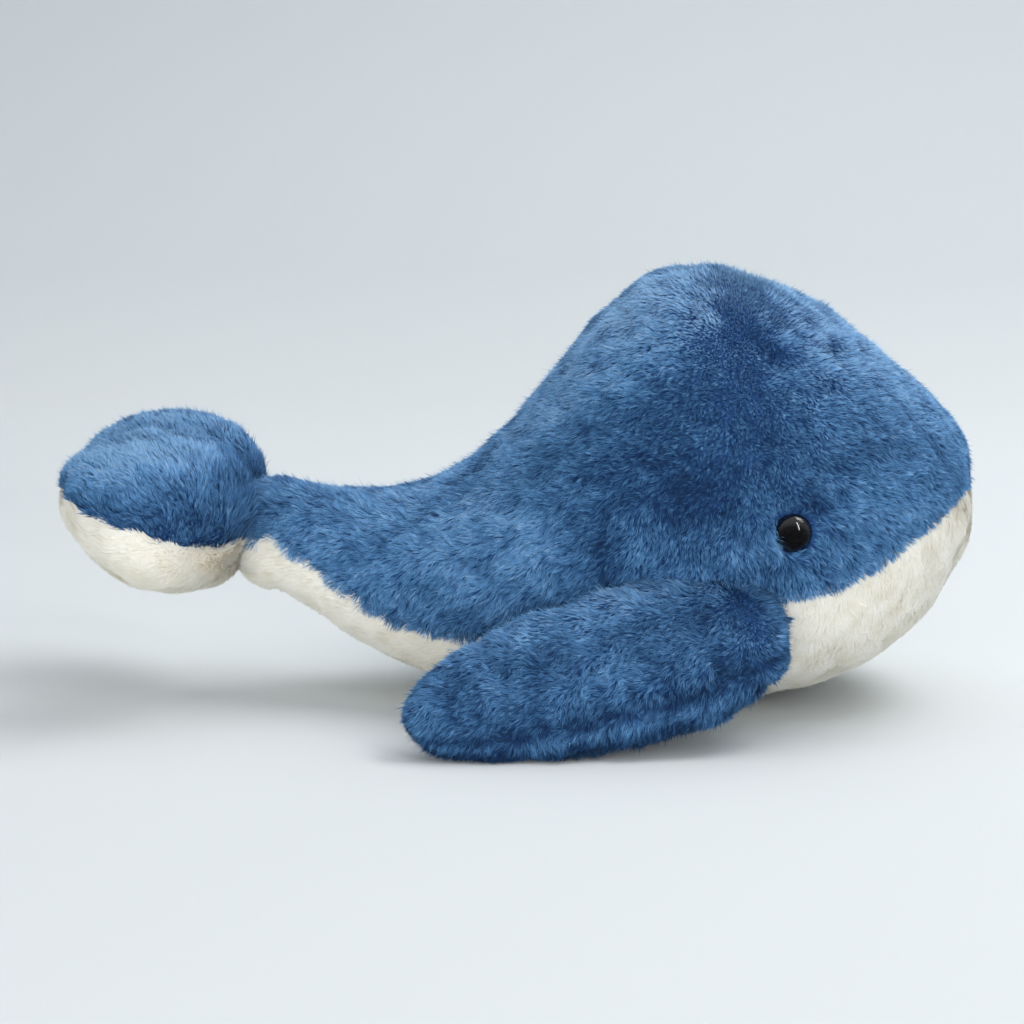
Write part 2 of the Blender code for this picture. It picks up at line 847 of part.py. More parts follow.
def lobe_ring(section, turns):
    """Points round a section of the right lobe, which tilts up to the back and is fuller ahead."""
    along, centre, half, thick, height = section
    tilt = math.radians(FLUKE_TILT_DEG)
    points = []
    for t in turns:
        forward = half * math.cos(t)
        up = thick * math.sin(t) * (1 + LOBE_FULLNESS * math.cos(t))
        points.append((
            centre + forward * math.cos(tilt) + up * math.sin(tilt),
            -along,
            height - forward * math.sin(tilt) + up * math.cos(tilt),
        ))
    return np.array(points)


def lobe_grid(inset, turns):
    """Rows of points over part of a lobe's surface, from its middle seam to its tip."""
    sections = lobe_sections(inset)
    rows = [lobe_ring(section, turns) for section in sections[:-1]]
    rows[0][:, 1] = -SEAM_GAP / 2
    along, centre, _, _, height = sections[-1]
    rows.append(np.array([[centre, -along, height]]))
    return rows


def lobe_panel_mesh(turns):
    """One of the right lobe's panels, over the given turns round its sections."""
    grids = []
    for inset in (0, PLUSH):
        rows = lobe_grid(inset, turns)
        rows[-1] = stood_back(rows[-1][0], rows[-2])
        grids.append(drawn_in(rows, SEAM_GAP / 2))
    return panel_mesh(*grids)


def lobe_stuffing_mesh(turns):
    """The fibrefill inside the right lobe."""
    return form_mesh(lobe_grid(PLUSH + FIT_GAP, whole_turns(turns)))


# Objects


def material(name):
    """A plain material with the piece's colour and roughness."""
    made = bpy.data.materials.get(name)
    if made is None:
        made = bpy.data.materials.new(name)
        made.use_nodes = True
        shader = made.node_tree.nodes["Principled BSDF"]
        shader.inputs["Base Color"].default_value = COLOURS[name]
        shader.inputs["Roughness"].default_value = ROUGHNESS[name]
        shader.inputs["Metallic"].default_value = 0.0
    return made


def joint_empty(name, place):
    """An empty on a joint's axis, which carries the pieces that move there."""
    empty = bpy.data.objects.new(name, None)
    empty.location = place
    bpy.context.scene.collection.objects.link(empty)
    return empty


def add_piece(name, mesh, cloth, parent=None):
    """An object for one piece, from a mesh in world places or in the piece's own frame."""
    mesh.materials.clear()
    mesh.materials.append(material(cloth))
    mesh.shade_smooth()
    mesh.set_sharp_from_angle(angle=math.radians(SHARP_DEG))
    piece = bpy.data.objects.new(name, mesh)
    bpy.context.scene.collection.objects.link(piece)
    if parent is not None:
        mesh.transform(Matrix.Translation(-parent.location))
        piece.parent = parent
    return piece


def add_pair(name, mesh, cloth, parents=(None, None)):
    """The right piece and its mirrored left one."""
    add_piece(name.format("left"), mirrored_mesh(mesh), cloth, parents[1])
    add_piece(name.format("right"), mesh, cloth, parents[0])


def build_body(eye, flipper):
    """The back, the belly and the stuffing, cut for the eyes and the flippers' balls."""
    axis = flipper_axis(flipper)
    seat = ball_mesh(FLIPPER_BALL_RADIUS + 2 * FIT_GAP, flipper.translation, axis)
    socket = socket_mesh()
    socket.transform(eye)
    add_pair("back_panel_{}", cut(back_panel_mesh(), [socket, seat]), "blue plush")
    belly = cut(belly_panel_mesh(), [seat, mirrored_mesh(seat)])
    add_piece("belly_panel", cut_flat(belly), "cream plush")
    pocket = pocket_mesh()
    pocket.transform(eye)
    stuffing = cut(body_form(PLUSH + FIT_GAP, stride=2), [pocket, mirrored_mesh(pocket)])
    add_piece("body_stuffing", stuffing, "fibrefill")


def build_eyes(frames):
    """Both safety eyes and their washers."""
    for name, mesh, stuff in (
        ("eye_{}", eye_mesh(), "black plastic"),
        ("eye_washer_{}", washer_mesh(), "clear plastic"),
    ):
        for side, frame in zip(("right", "left"), frames):
            piece = add_piece(name.format(side), mesh, stuff)
            piece.matrix_world = frame


def build_flippers(flipper):
    """Both flippers, clear of the body through their swing."""
    centre = flipper.translation
    axis = flipper_axis(flipper)
    swing = math.radians(FLIPPER_SWING_DEG)
    turns = limb_turns(FLIPPER_COLUMNS, math.radians(FLIPPER_SEAM_DEG), math.pi)
    ball = ball_mesh(FLIPPER_BALL_RADIUS + FIT_GAP, centre, axis)
    flank_form = body_form(-2 * FIT_GAP)
    swept = joined(turned_about(flank_form, centre, axis, (0, swing / 2, swing)))
    tool = cut(swept, [ball])
    parents = (
        joint_empty("flipper_right_joint", centre),
        joint_empty("flipper_left_joint", Vector((centre.x, -centre.y, centre.z))),
    )
    for name, mesh, cloth in (
        ("flipper_{}_outer_panel", flipper_panel_mesh(turns[0]), "blue plush"),
        ("flipper_{}_inner_panel", flipper_panel_mesh(turns[1]), "blue plush"),
        ("flipper_{}_stuffing", flipper_stuffing_mesh(turns), "fibrefill"),
    ):
        mesh.transform(flipper)
        add_pair(name, cut_flat(cut(mesh, [tool])), cloth, parents)


def build_fluke():
    """Both lobes of the fluke, cut to a seat round the tail's ball."""
    bend = math.radians(FLUKE_BEND_DEG)
    seat = ball_mesh(TAIL_RADIUS + 3 * FIT_GAP, TAIL_CENTRE, SIDE_AXIS)
    tail_form = body_form(-2 * FIT_GAP)
    swept = turned_about(tail_form, TAIL_CENTRE, SIDE_AXIS, (-bend, 0, bend))
    tool = joined([seat, *swept])
    seam = math.radians(FLUKE_SEAM_DEG)
    turns = limb_turns(LOBE_COLUMNS, -seam, math.pi + seam)
    parent = joint_empty("fluke_joint", TAIL_CENTRE)
    for name, mesh, cloth in (
        ("fluke_{}_upper_panel", lobe_panel_mesh(turns[0]), "blue plush"),
        ("fluke_{}_lower_panel", lobe_panel_mesh(turns[1]), "cream plush"),
        ("fluke_{}_stuffing", lobe_stuffing_mesh(turns), "fibrefill"),
    ):
        add_pair(name, cut(mesh, [tool]), cloth, (parent, parent))


def main():
    for item in list(bpy.data.objects):
        bpy.data.objects.remove(item)
    eyes = eye_frames()
    flipper = flipper_frame()
    build_body(eyes[0], flipper)
    build_eyes(eyes)
    build_flippers(flipper)
    build_fluke()


main()
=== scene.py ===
import math

import bmesh
import bpy
import numpy as np
from mathutils import Matrix, Vector, kdtree


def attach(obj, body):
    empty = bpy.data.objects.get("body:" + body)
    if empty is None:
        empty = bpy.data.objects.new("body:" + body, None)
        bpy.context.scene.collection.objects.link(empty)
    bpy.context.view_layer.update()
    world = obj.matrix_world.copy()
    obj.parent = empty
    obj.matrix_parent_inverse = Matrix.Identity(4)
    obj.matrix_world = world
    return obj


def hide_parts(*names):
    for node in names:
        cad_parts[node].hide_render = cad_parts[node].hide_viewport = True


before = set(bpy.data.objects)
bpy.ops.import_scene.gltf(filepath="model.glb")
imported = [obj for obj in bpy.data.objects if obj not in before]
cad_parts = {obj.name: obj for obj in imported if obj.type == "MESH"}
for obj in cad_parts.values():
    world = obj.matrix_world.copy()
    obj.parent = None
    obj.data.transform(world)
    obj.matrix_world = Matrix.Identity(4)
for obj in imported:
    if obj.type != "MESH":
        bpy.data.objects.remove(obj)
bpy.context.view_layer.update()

# The whole toy, as in the part's source
TOTAL_LENGTH = 0.344
BODY_HEIGHT = 0.163
BODY_WIDTH = 0.154
PLUSH = 0.006
PILE = 0.0047
FIT_GAP = 0.0003
FLAT_DEPTH = 0.0005
SEAM_SINK = 0.0018
SEAM_REACH = 0.009

# Tail and fluke
TAIL_HEIGHT = 0.0615
TAIL_RADIUS = 0.0225
TAIL_SEAM_SHARE = 0.02
FLUKE_CHORD = 0.072
FLUKE_SPAN = 0.142
FLUKE_THICKNESS = 0.058
FLUKE_RISE = 0.0145
FLUKE_TILT_DEG = 17.0
FLUKE_LIP_DEG = 63.0
FLUKE_SEAM_DEG = 8.0
LOBE_FULLNESS = 0.20

# Flippers
FLIPPER_LENGTH = 0.141
FLIPPER_WIDTH = 0.062
FLIPPER_THICKNESS = 0.024
FLIPPER_SHOULDER = 0.043
FLIPPER_FRONT = 0.0145
FLIPPER_BALL_RADIUS = 0.0115
FLIPPER_BALL_SINK = 0.0042
FLIPPER_ROOT_X = 0.081
FLIPPER_ROOT_HEIGHT = 0.042
FLIPPER_ROLL_DEG = 40.0
FLIPPER_SPREAD_DEG = 12.0
FLIPPER_SEAM_DEG = 52.0

# Safety eyes
EYE_X = 0.0976
EYE_HEIGHT = 0.0735
EYE_RADIUS = 0.0070
EYE_DOME = 0.0048
EYE_RIM = 0.0008
EYE_GRAIN = 0.00014
SHANK_RADIUS = 0.0016
SHANK_LENGTH = 0.0150

# How finely the forms are drawn
RIB_STEPS = 9
END_STEPS = 10
BACK_COLUMNS = 40
BELLY_COLUMNS = 24
LIMB_COLUMNS = 26
SECTION_POINTS = 160
EYE_SEGMENTS = 72
DOME_STEPS = 24
DROOP_STEPS = 20
SLOPE_REACH = 0.009
SWEEP_STEPS = 12
MERGE_DISTANCE = 0.00001
TINY = 1e-6
WAVE_COUNT = 16
NOISE_DETAIL = 4.0

# Cloth and stuffing
SKIN_INSET = 0.0024
LOOSE_SHARE = 0.62
SEAM_COLUMNS = 3
BODY_LUMPS = 0.0005
LIMB_LUMPS = 0.0004
LIMB_SWELL = 0.02
FLIPPER_SINK = 0.0042
FLIPPER_SINK_REACH = 0.0050
FLUKE_SINK_REACH = 0.006
EYE_DIP_REACH = 0.010
EYE_HOLLOW_AT = (0.0043, 0.0, 0.0095)
EYE_HOLLOW_DEPTH = 0.0018
EYE_HOLLOW_REACH = 0.0065
FLANK_FROM = 0.03

# Pile: strands that stand on the cloth, are drawn together in locks and lean as they are combed
STRANDS_PER_AREA = 6.4e6
STRAND_WIDTH = 0.00020
STRAND_WIDTHS = (0.7, 1.25)
STRAND_REACH = 0.0042
STRAND_MIDDLE = 0.45
STRAND_BOW = 0.16
STRAY_SHARE = 0.06
LOCK_STRANDS = 5
LOCK_PULL = (0.10, 0.65)
LOCK_TURN = 0.26
LOCK_RISE = 0.14
LOCK_TONE = 0.12
SWELL_TURN = 0.34
SWELL_RISE = 0.08
STRAND_TURN = 0.16
STRAND_LEAN = 0.06
STRAND_RISE = 0.10
STRAND_TONE = 0.10
SHADING_NOISE = 0.06
LOCK_SWELL = 0.013
HEIGHT_SWELL = 0.012
EDGE_GAP = 0.001
EDGE_REACH = 0.008
ROOT_CLEARANCE = 0.0003
FLOOR_CLEARANCE = 0.0002
EYE_CLEARANCE = 0.0002
ROOT_COVER = 0.007
BACK_LIGHT = (0.0, 0.0, 1.4)
BACK_FACING = 1.2
UV_NAME = "OFBake"
TONE_STEP = 0.003
TONE_ENDS = (0.02, 0.98)

# Each colour's pile: how uneven its locks are, how far its stray hairs stand out, how far its
# strands roll about their length, how broad they are, and how much they shade like the cloth
PILE_KINDS = {
    "blue": (1.0, 0.60, 0.5, 1.0, 0.72),
    "cream": (0.50, 0.35, 0.15, 2.2, 0.96),
}

HEIGHT_SHARES = {"blue": 1, "cream": LOOSE_SHARE}

# The body's pile is in three pieces: where its head piece ends, and where its tail piece starts
PILE_PARTS = {"blue": (0.070, 0.010), "cream": (0.102, 0.026)}

# Uneven tones: a broad and a narrow swell
BROAD_SWELL = 0.026
NARROW_SWELL = 0.010

# Shares of the body's length, its height (four), its half width, and the lower curve's fullness
BODY_RIB_SHARES = [
    (1.000, 0.490, 0.490, 0.490, 0.490, 0.00, 2.0),
    (0.987, 0.602, 0.358, 0.500, 0.486, 0.33, 2.0),
    (0.946, 0.692, 0.236, 0.472, 0.478, 0.60, 2.1),
    (0.882, 0.786, 0.128, 0.408, 0.468, 0.80, 2.1),
    (0.787, 0.902, 0.044, 0.328, 0.454, 0.94, 2.2),
    (0.675, 0.983, 0.004, 0.292, 0.436, 1.00, 2.2),
    (0.558, 1.000, 0.000, 0.264, 0.420, 0.99, 2.2),
    (0.463, 0.896, 0.000, 0.236, 0.395, 0.93, 2.2),
    (0.382, 0.734, 0.000, 0.205, 0.350, 0.83, 2.2),
    (0.297, 0.586, 0.014, 0.180, 0.298, 0.68, 2.2),
    (0.200, 0.500, 0.056, 0.182, 0.272, 0.53, 2.1),
    (0.098, 0.484, 0.140, 0.262, 0.312, 0.39, 2.0),
]

# Shares of the half span, the chord (two), the thickness and the rise
LOBE_SECTION_SHARES = [
    (0.00, 0.00, 0.68, 0.70, 0.10),
    (0.16, -0.01, 0.84, 0.86, 0.48),
    (0.34, -0.03, 1.00, 1.00, 0.95),
    (0.52, 0.00, 0.98, 0.98, 1.00),
    (0.70, 0.09, 0.83, 0.84, 0.96),
    (0.86, 0.22, 0.58, 0.60, 0.88),
    (0.96, 0.36, 0.30, 0.33, 0.82),
    (1.00, 0.50, 0.00, 0.00, 0.80),
]

# Shares of the flipper's length, then of its width and thickness: out from the shoulder and ball,
# and in to the tip
FLIPPER_RISE_SHARES = [
    (0.00, 0.00, 0.00),
    (0.07, 0.52, 0.30),
    (0.18, 0.92, 0.75),
    (0.32, 1.00, 1.00),
]
FLIPPER_FALL_SHARES = [
    (0.53, 0.94, 1.00),
    (0.74, 0.79, 0.90),
    (0.88, 0.60, 0.74),
    (0.97, 0.34, 0.46),
    (1.00, 0.00, 0.00),
]

# How the pile is combed: a place seen from the side, then the way it leans there, ahead and up
BACK_COMBS = [
    (-0.085, 0.078, -1.00, 0.05),
    (-0.070, 0.050, -0.95, -0.25),
    (-0.045, 0.085, -1.00, -0.10),
    (-0.040, 0.045, -0.80, -0.50),
    (-0.008, 0.064, -0.85, -0.50),
    (0.000, 0.095, -0.95, -0.25),
    (0.000, 0.032, -0.35, -0.90),
    (0.020, 0.130, -1.00, -0.15),
    (0.045, 0.155, -0.90, -0.10),
    (0.045, 0.100, -0.65, -0.35),
    (0.040, 0.055, -0.20, -0.85),
    (0.058, 0.160, -0.65, -0.10),
    (0.055, 0.125, -0.65, -0.20),
    (0.060, 0.092, -0.60, -0.30),
    (0.070, 0.055, -0.15, -0.75),
    (0.079, 0.155, -0.05, -0.60),
    (0.076, 0.122, -0.10, -0.65),
    (0.081, 0.096, 0.00, -0.65),
    (0.104, 0.146, 0.35, -0.40),
    (0.102, 0.118, 0.45, -0.45),
    (0.101, 0.095, 0.50, -0.35),
    (0.140, 0.115, 0.75, -0.35),
    (0.125, 0.070, 0.75, -0.50),
    (0.100, 0.052, 0.30, -0.75),
    (0.165, 0.085, 0.60, -0.35),
]
BELLY_COMBS = [
    (0.165, 0.070, 0.20, -0.95),
    (0.130, 0.035, 0.00, -1.00),
    (0.090, 0.015, -0.10, -1.00),
    (0.030, 0.010, -0.60, -0.60),
    (-0.030, 0.015, -0.90, -0.30),
    (-0.080, 0.045, -0.90, -0.10),
]
COMB_SPREAD = 0.018
FLUKE_COMB_FROM = (-0.097, 0.0, 0.050)

# Painted shade on the body's pile, in partings where it stands up and beside the flipper's root:
# the place seen from the side, how far the patch reaches along and up, and how much darker it is
PAINTED_SHADE_PATCHES = [
    (0.070, 0.114, 0.034, 0.019, 0.18),
    (0.058, 0.090, 0.034, 0.014, 0.24),
    (0.032, 0.066, 0.005, 0.020, 0.24),
    (0.082, 0.062, 0.020, 0.009, 0.12),
    (0.102, 0.083, 0.007, 0.005, 0.24),
    (-0.016, 0.091, 0.022, 0.003, 0.16),
]

# Studio: a floor that curves up into a wall, and the photograph's view
FLOOR_FRONT_Y = -8.0
FLOOR_HALF_WIDTH = 6.0
SWEEP_START_Y = 0.45
SWEEP_RADIUS = 0.40
WALL_TOP = 2.6
WALL_SHADE_RISE = 0.30
SKY_STRENGTH = 0.54
VIEW_AIM = (-0.0025, 0.0, 0.069)
VIEW_RISE_DEG = 9.5
VIEW_DISTANCE = 1.05
VIEW_LENS_MM = 97
VIEW_SENSOR_MM = 36
LIGHT_BOUNCES = 14
DIFFUSE_BOUNCES = 10

# Lamps: place, height that they face, size, power, and whether glossy surfaces show them
LAMPS = {
    "overhead": ((0.1, 0.45, 1.25), 0.05, (1.5, 1.0), 6, True),
    "front": ((0.95, -1.3, 1.0), 0.06, (0.12, 1.2), 4.5, True),
    "side": ((0.62, 0.14, 1.02), 0.06, (0.9, 0.5), 6, True),
    "fill": ((-0.4, -1.6, 0.36), 0.06, (2.0, 0.7), 12, False),
    "bounce": ((-0.1, -1.1, 0.10), 0.06, (1.6, 0.16), 4.5, False),
}

# Places that follow from the sizes above
SNOUT_X = TOTAL_LENGTH / 2
CREASE_X = FLUKE_CHORD - TOTAL_LENGTH / 2
TAIL_X = CREASE_X + TAIL_RADIUS * math.cos(math.radians(FLUKE_LIP_DEG))
ACROSS = np.array([1.0, -1.0, 1.0])


# Curves and grids


def smooth_rows(rows, before, after, steps):
    """Rows of a smooth curve through the given rows, with a guiding row past each end."""
    guided = np.array([before, *rows, after], float)
    out = []
    for a, b, c, d in zip(guided, guided[1:], guided[2:], guided[3:]):
        for t in np.arange(steps) / steps:
            slope_b = (c - a) / 2
            slope_c = (d - b) / 2
            rise = c - b
            out.append(
                b + slope_b * t + (3 * rise - 2 * slope_b - slope_c) * t**2
                + (slope_b + slope_c - 2 * rise) * t**3
            )
    out.append(guided[-2])
    return out


def unit(vectors):
    """The vectors at length one."""
    return vectors / np.maximum(np.linalg.norm(vectors, axis=-1, keepdims=True), TINY**2)


def waves(points, size, seed):
    """Smooth noise over space, with swells of about the given size and a spread of about 1."""
    rng = np.random.default_rng(seed)
    ways = unit(rng.normal(size=(WAVE_COUNT, 3)))
    ways *= rng.uniform(0.6, 1.4, (WAVE_COUNT, 1)) * math.tau / size
    phases = rng.uniform(0, math.tau, WAVE_COUNT)
    return np.sin(points @ ways.T + phases).sum(axis=-1) * math.sqrt(2 / WAVE_COUNT)


def eased(values, low, high):
    """A smooth step from 0 at the low value to 1 at the high one."""
    t = np.clip((values - low) / (high - low), 0, 1)
    return t * t * (3 - 2 * t)


def closed_normals(points):
    """Unit normals of closed rings of points, pointing out."""
    along = np.gradient(points, axis=0)
    around = np.roll(points, -1, axis=1) - np.roll(points, 1, axis=1)
    normals = unit(np.cross(along, around))
    middle = points.mean(axis=1, keepdims=True)
    if ((points - middle) * normals).sum() < 0:
        normals = -normals
    for end, beside in ((0, 1), (-1, -2)):
        if np.ptp(points[end], axis=0).max() < MERGE_DISTANCE:
            normals[end] = unit(points[end, 0] - points[beside].mean(axis=0))
    return normals


# The body's form


def body_ribs():
    """Rows of X, top, bottom, seam, widest level, half width and lower fullness."""
    length = SNOUT_X - TAIL_X
    rows = []
    for along, top, bottom, seam, widest, half, full in BODY_RIB_SHARES:
        rows.append((
            TAIL_X + along * length,
            top * BODY_HEIGHT,
            bottom * BODY_HEIGHT - FLAT_DEPTH,
            seam * BODY_HEIGHT,
            widest * BODY_HEIGHT,
            half * BODY_WIDTH / 2,
            full,
        ))
    rows[0] = (rows[0][0], *[rows[0][1]] * 4, 0, rows[0][-1])
    rows.append((
        TAIL_X,
        TAIL_HEIGHT + TAIL_RADIUS,
        TAIL_HEIGHT - TAIL_RADIUS,
        TAIL_HEIGHT + TAIL_RADIUS * TAIL_SEAM_SHARE,
        TAIL_HEIGHT,
        TAIL_RADIUS,
        2,
    ))
    x, top, bottom, seam, widest, half, full = rows[1]
    snout = rows[0][1]
    before = (x, bottom, top, 2 * snout - seam, 2 * snout - widest, -half, full)
    after = 2 * np.array(rows[-1]) - np.array(rows[-2])
    ribs = [tuple(row) for row in smooth_rows(rows, before, after, RIB_STEPS)]
    for k in range(1, END_STEPS):
        turn = math.pi / 2 * k / END_STEPS
        radius = TAIL_RADIUS * math.cos(turn)
        ribs.append((
            TAIL_X - TAIL_RADIUS * math.sin(turn),
            TAIL_HEIGHT + radius,
            TAIL_HEIGHT - radius,
            TAIL_HEIGHT + radius * TAIL_SEAM_SHARE,
            TAIL_HEIGHT,
            radius,
            2,
        ))
    return np.array(ribs[1:])


RIBS = body_ribs()


def half_section(rib):
    """Points round the right half of a rib, from its top to its bottom."""
    x, top, bottom, _, widest, half, full = rib
    turns = np.linspace(0, math.pi / 2, SECTION_POINTS)
    upper = np.stack([
        np.full(SECTION_POINTS, x), -half * np.sin(turns), widest + (top - widest) * np.cos(turns),
    ], axis=1)
    out = np.maximum(np.cos(turns), 0) ** (2 / full)
    down = np.sin(turns) ** (2 / full)
    lower = np.stack([
        np.full(SECTION_POINTS, x), -half * out, widest - (widest - bottom) * down,
    ], axis=1)
    return np.concatenate([upper, lower[1:]])


def half_row(rib):
    """Points down the right half of a rib, with one of them on the seam."""
    line = half_section(rib)
    steps = np.linalg.norm(np.diff(line, axis=0), axis=1)
    along = np.concatenate([[0.0], np.cumsum(steps)])
    seam = np.interp(-rib[3], -line[:, 2], along)
    back = np.linspace(0, seam, BACK_COLUMNS + 1)
    belly = np.linspace(seam, along[-1], BELLY_COLUMNS + 1)
    wanted = np.concatenate([back, belly[1:]])
    return np.stack([np.interp(wanted, along, line[:, k]) for k in range(3)], axis=1)


def body_rings():
    """Rings round the body from the snout to the tail, each down the right and up the left."""
    rows = np.array([half_row(rib) for rib in RIBS])
    rings = np.concatenate([rows, (rows * ACROSS)[:, -2:0:-1]], axis=1)
    snout = np.array([SNOUT_X, 0.0, BODY_RIB_SHARES[0][1] * BODY_HEIGHT])
    tail = np.array([TAIL_X - TAIL_RADIUS, 0.0, TAIL_HEIGHT])
    ends = [np.repeat([[end]], rings.shape[1], axis=1) for end in (snout, tail)]
    return np.concatenate([ends[0], rings, ends[1]])


def half_width(x, z):
    """Half the body's width at places along it and heights."""
    ribs = RIBS[::-1]
    _, top, bottom, _, widest, half, full = (
        np.interp(x, ribs[:, 0], ribs[:, k], left=0, right=0) for k in range(7)
    )
    above = np.clip((z - widest) / np.maximum(top - widest, TINY), 0, 1)
    below = np.clip((widest - z) / np.maximum(widest - bottom, TINY), 0, 1)
    power = np.maximum(full, 1)
    upper = np.sqrt(1 - above**2)
    lower = (1 - below**power) ** (1 / power)
    return half * np.where(z > widest, upper, lower)


def flank(x, height):
    """The point on the right flank at a place and a height, and the way out of the body."""
    step = SLOPE_REACH
    side = -half_width(np.array([x, x + step, x - step, x, x]),
                       np.array([height, height, height, height + step, height - step]))
    lean = (side[1] - side[2]) / (2 * step)
    rise = (side[3] - side[4]) / (2 * step)
    return Vector((x, side[0], height)), Vector((lean, -1.0, rise)).normalized()


def eye_place():
    """The right eye's centre on the cloth and the way it faces."""
    point, out = flank(EYE_X, EYE_HEIGHT)
    return point - out * PILE, out


EYE_CENTRE, EYE_OUT = eye_place()


# The flippers' and the fluke's forms


def flipper_sections():
    """Places, half widths and half thicknesses of the sections between the ends."""
    length = FLIPPER_LENGTH - FLIPPER_FRONT
    shoulder = FLIPPER_SHOULDER / 2
    half = FLIPPER_WIDTH / 2
    thick = FLIPPER_THICKNESS / 2
    rows = []
    for along, width_share, thick_share in FLIPPER_RISE_SHARES:
        rows.append((
            along * length,
            shoulder + (half - shoulder) * width_share,
            FLIPPER_BALL_RADIUS + (thick - FLIPPER_BALL_RADIUS) * thick_share,
        ))
    for along, width_share, thick_share in FLIPPER_FALL_SHARES:
        rows.append((along * length, half * width_share, thick * thick_share))
    before = (-rows[1][0], shoulder, FLIPPER_BALL_RADIUS)
    after = (rows[-2][0], -rows[-2][1], -rows[-2][2])
    body = smooth_rows(rows, before, after, RIB_STEPS)
    head = []
    for k in range(END_STEPS):
        turn = math.pi / 2 * k / END_STEPS
        head.append((
            -FLIPPER_FRONT * math.cos(turn),
            shoulder * math.sin(turn),
            FLIPPER_BALL_RADIUS * math.sin(turn),
        ))
    return head + [tuple(row) for row in body]


def limb_turns(front, back):
    """Turns round a limb from its front seam, with as many over its second panel as its first."""
    first = np.linspace(front, back, LIMB_COLUMNS + 1)
    second = np.linspace(back, math.tau + front, LIMB_COLUMNS + 1)
    return np.concatenate([first[:-1], second[:-1]])


def flipper_rings():
    """Rings along the flipper in its own frame of length, width and thickness."""
    turns = limb_turns(math.radians(FLIPPER_SEAM_DEG), math.pi)
    rings = []
    for along, half, thick in flipper_sections():
        rings.append(np.stack([
            np.full(len(turns), along), half * np.cos(turns), thick * np.sin(turns),
        ], axis=1))
    return np.array(rings)


def flipper_turn(droop):
    """The flipper's axes in the world: swept back, rolled out, spread and drooping."""
    base = Matrix(((-1, 0, 0), (0, 0, -1), (0, -1, 0))).transposed()
    roll = Matrix.Rotation(-math.radians(FLIPPER_ROLL_DEG), 3, "X")
    fall = Matrix.Rotation(-droop, 3, "Y")
    spread = Matrix.Rotation(math.radians(FLIPPER_SPREAD_DEG), 3, "Z")
    return np.array(spread @ fall @ roll @ base)


def flipper_placing(rings):
    """The right flipper's axes and centre: its ball in the flank and its edge on the floor."""
    point, out = flank(FLIPPER_ROOT_X, FLIPPER_ROOT_HEIGHT)
    centre = np.array(point + out * (FLIPPER_BALL_RADIUS - FLIPPER_BALL_SINK))
    low, high = -math.pi / 4, math.pi / 4
    for _ in range(DROOP_STEPS):
        droop = (low + high) / 2
        turned = rings @ flipper_turn(droop).T
        if centre[2] + turned[..., 2].min() > -FLAT_DEPTH:
            low = droop
        else:
            high = droop
    return flipper_turn(droop), centre


def lobe_rings():
    """Rings along the right lobe of the fluke, from its middle seam to its tip."""
    rows = []
    for along, front, chord, thick, rise in LOBE_SECTION_SHARES:
        rows.append((
            along * FLUKE_SPAN / 2,
            CREASE_X - front * FLUKE_CHORD - chord * FLUKE_CHORD / 2,
            chord * FLUKE_CHORD / 2,
            thick * FLUKE_THICKNESS / 2,
            TAIL_HEIGHT + rise * FLUKE_RISE,
        ))
    along, centre, half, thick, height = rows[-2]
    after = (along, centre, -half, -thick, height)
    before = (-rows[1][0], *rows[1][1:])
    seam = math.radians(FLUKE_SEAM_DEG)
    turns = limb_turns(-seam, math.pi + seam)
    tilt = math.radians(FLUKE_TILT_DEG)
    rings = []
    for along, centre, half, thick, height in smooth_rows(rows, before, after, RIB_STEPS):
        forward = half * np.cos(turns)
        up = thick * np.sin(turns) * (1 + LOBE_FULLNESS * np.cos(turns))
        rings.append(np.stack([
            centre + forward * math.cos(tilt) + up * math.sin(tilt),
            np.full(len(turns), -along),
            height - forward * math.sin(tilt) + up * math.cos(tilt),
        ], axis=1))
    return np.array(rings)


# Meshes


def mesh_of(name, vertices, faces):
    """A closed mesh of points and faces, with its faces pointing out."""
    bm = bmesh.new()
    made = [bm.verts.new(p) for p in vertices]
    for face in faces:
        bm.faces.new([made[k] for k in face])
    bmesh.ops.remove_doubles(bm, verts=bm.verts, dist=MERGE_DISTANCE)
    bmesh.ops.dissolve_degenerate(bm, edges=bm.edges, dist=MERGE_DISTANCE)
    bmesh.ops.recalc_face_normals(bm, faces=bm.faces)
    mesh = bpy.data.meshes.new(name)
    bm.to_mesh(mesh)
    bm.free()
    return mesh


def grid_faces(rows, columns, start=0, closed=False):
    """Faces of a grid of points that are numbered row by row."""
    faces = []
    for r in range(rows - 1):
        for c in range(columns if closed else columns - 1):
            n = (c + 1) % columns
            faces.append((
                start + r * columns + c,
                start + (r + 1) * columns + c,
                start + (r + 1) * columns + n,
                start + r * columns + n,
            ))
    return faces


def shell_mesh(name, outer, inner):
    """A cloth shell between two grids of points of the same size."""
    rows, columns = outer.shape[:2]
    count = rows * columns
    faces = grid_faces(rows, columns) + grid_faces(rows, columns, count)
    rim = list(range(columns))
    rim += [r * columns + columns - 1 for r in range(1, rows)]
    rim += [(rows - 1) * columns + c for c in range(columns - 2, -1, -1)]
    rim += [r * columns for r in range(rows - 2, 0, -1)]
    for a, b in zip(rim, rim[1:] + rim[:1]):
        faces.append((a, b, b + count, a + count))
    points = np.concatenate([outer.reshape(-1, 3), inner.reshape(-1, 3)])
    return mesh_of(name, points.tolist(), faces)


def filling_mesh(name, rings):
    """A closed form through rings of points."""
    rows, columns = rings.shape[:2]
    faces = grid_faces(rows, columns, closed=True)
    for row in (0, rows - 1):
        if np.ptp(rings[row], axis=0).max() > MERGE_DISTANCE:
            faces.append(tuple(row * columns + c for c in range(columns)))
    return mesh_of(name, rings.reshape(-1, 3).tolist(), faces)


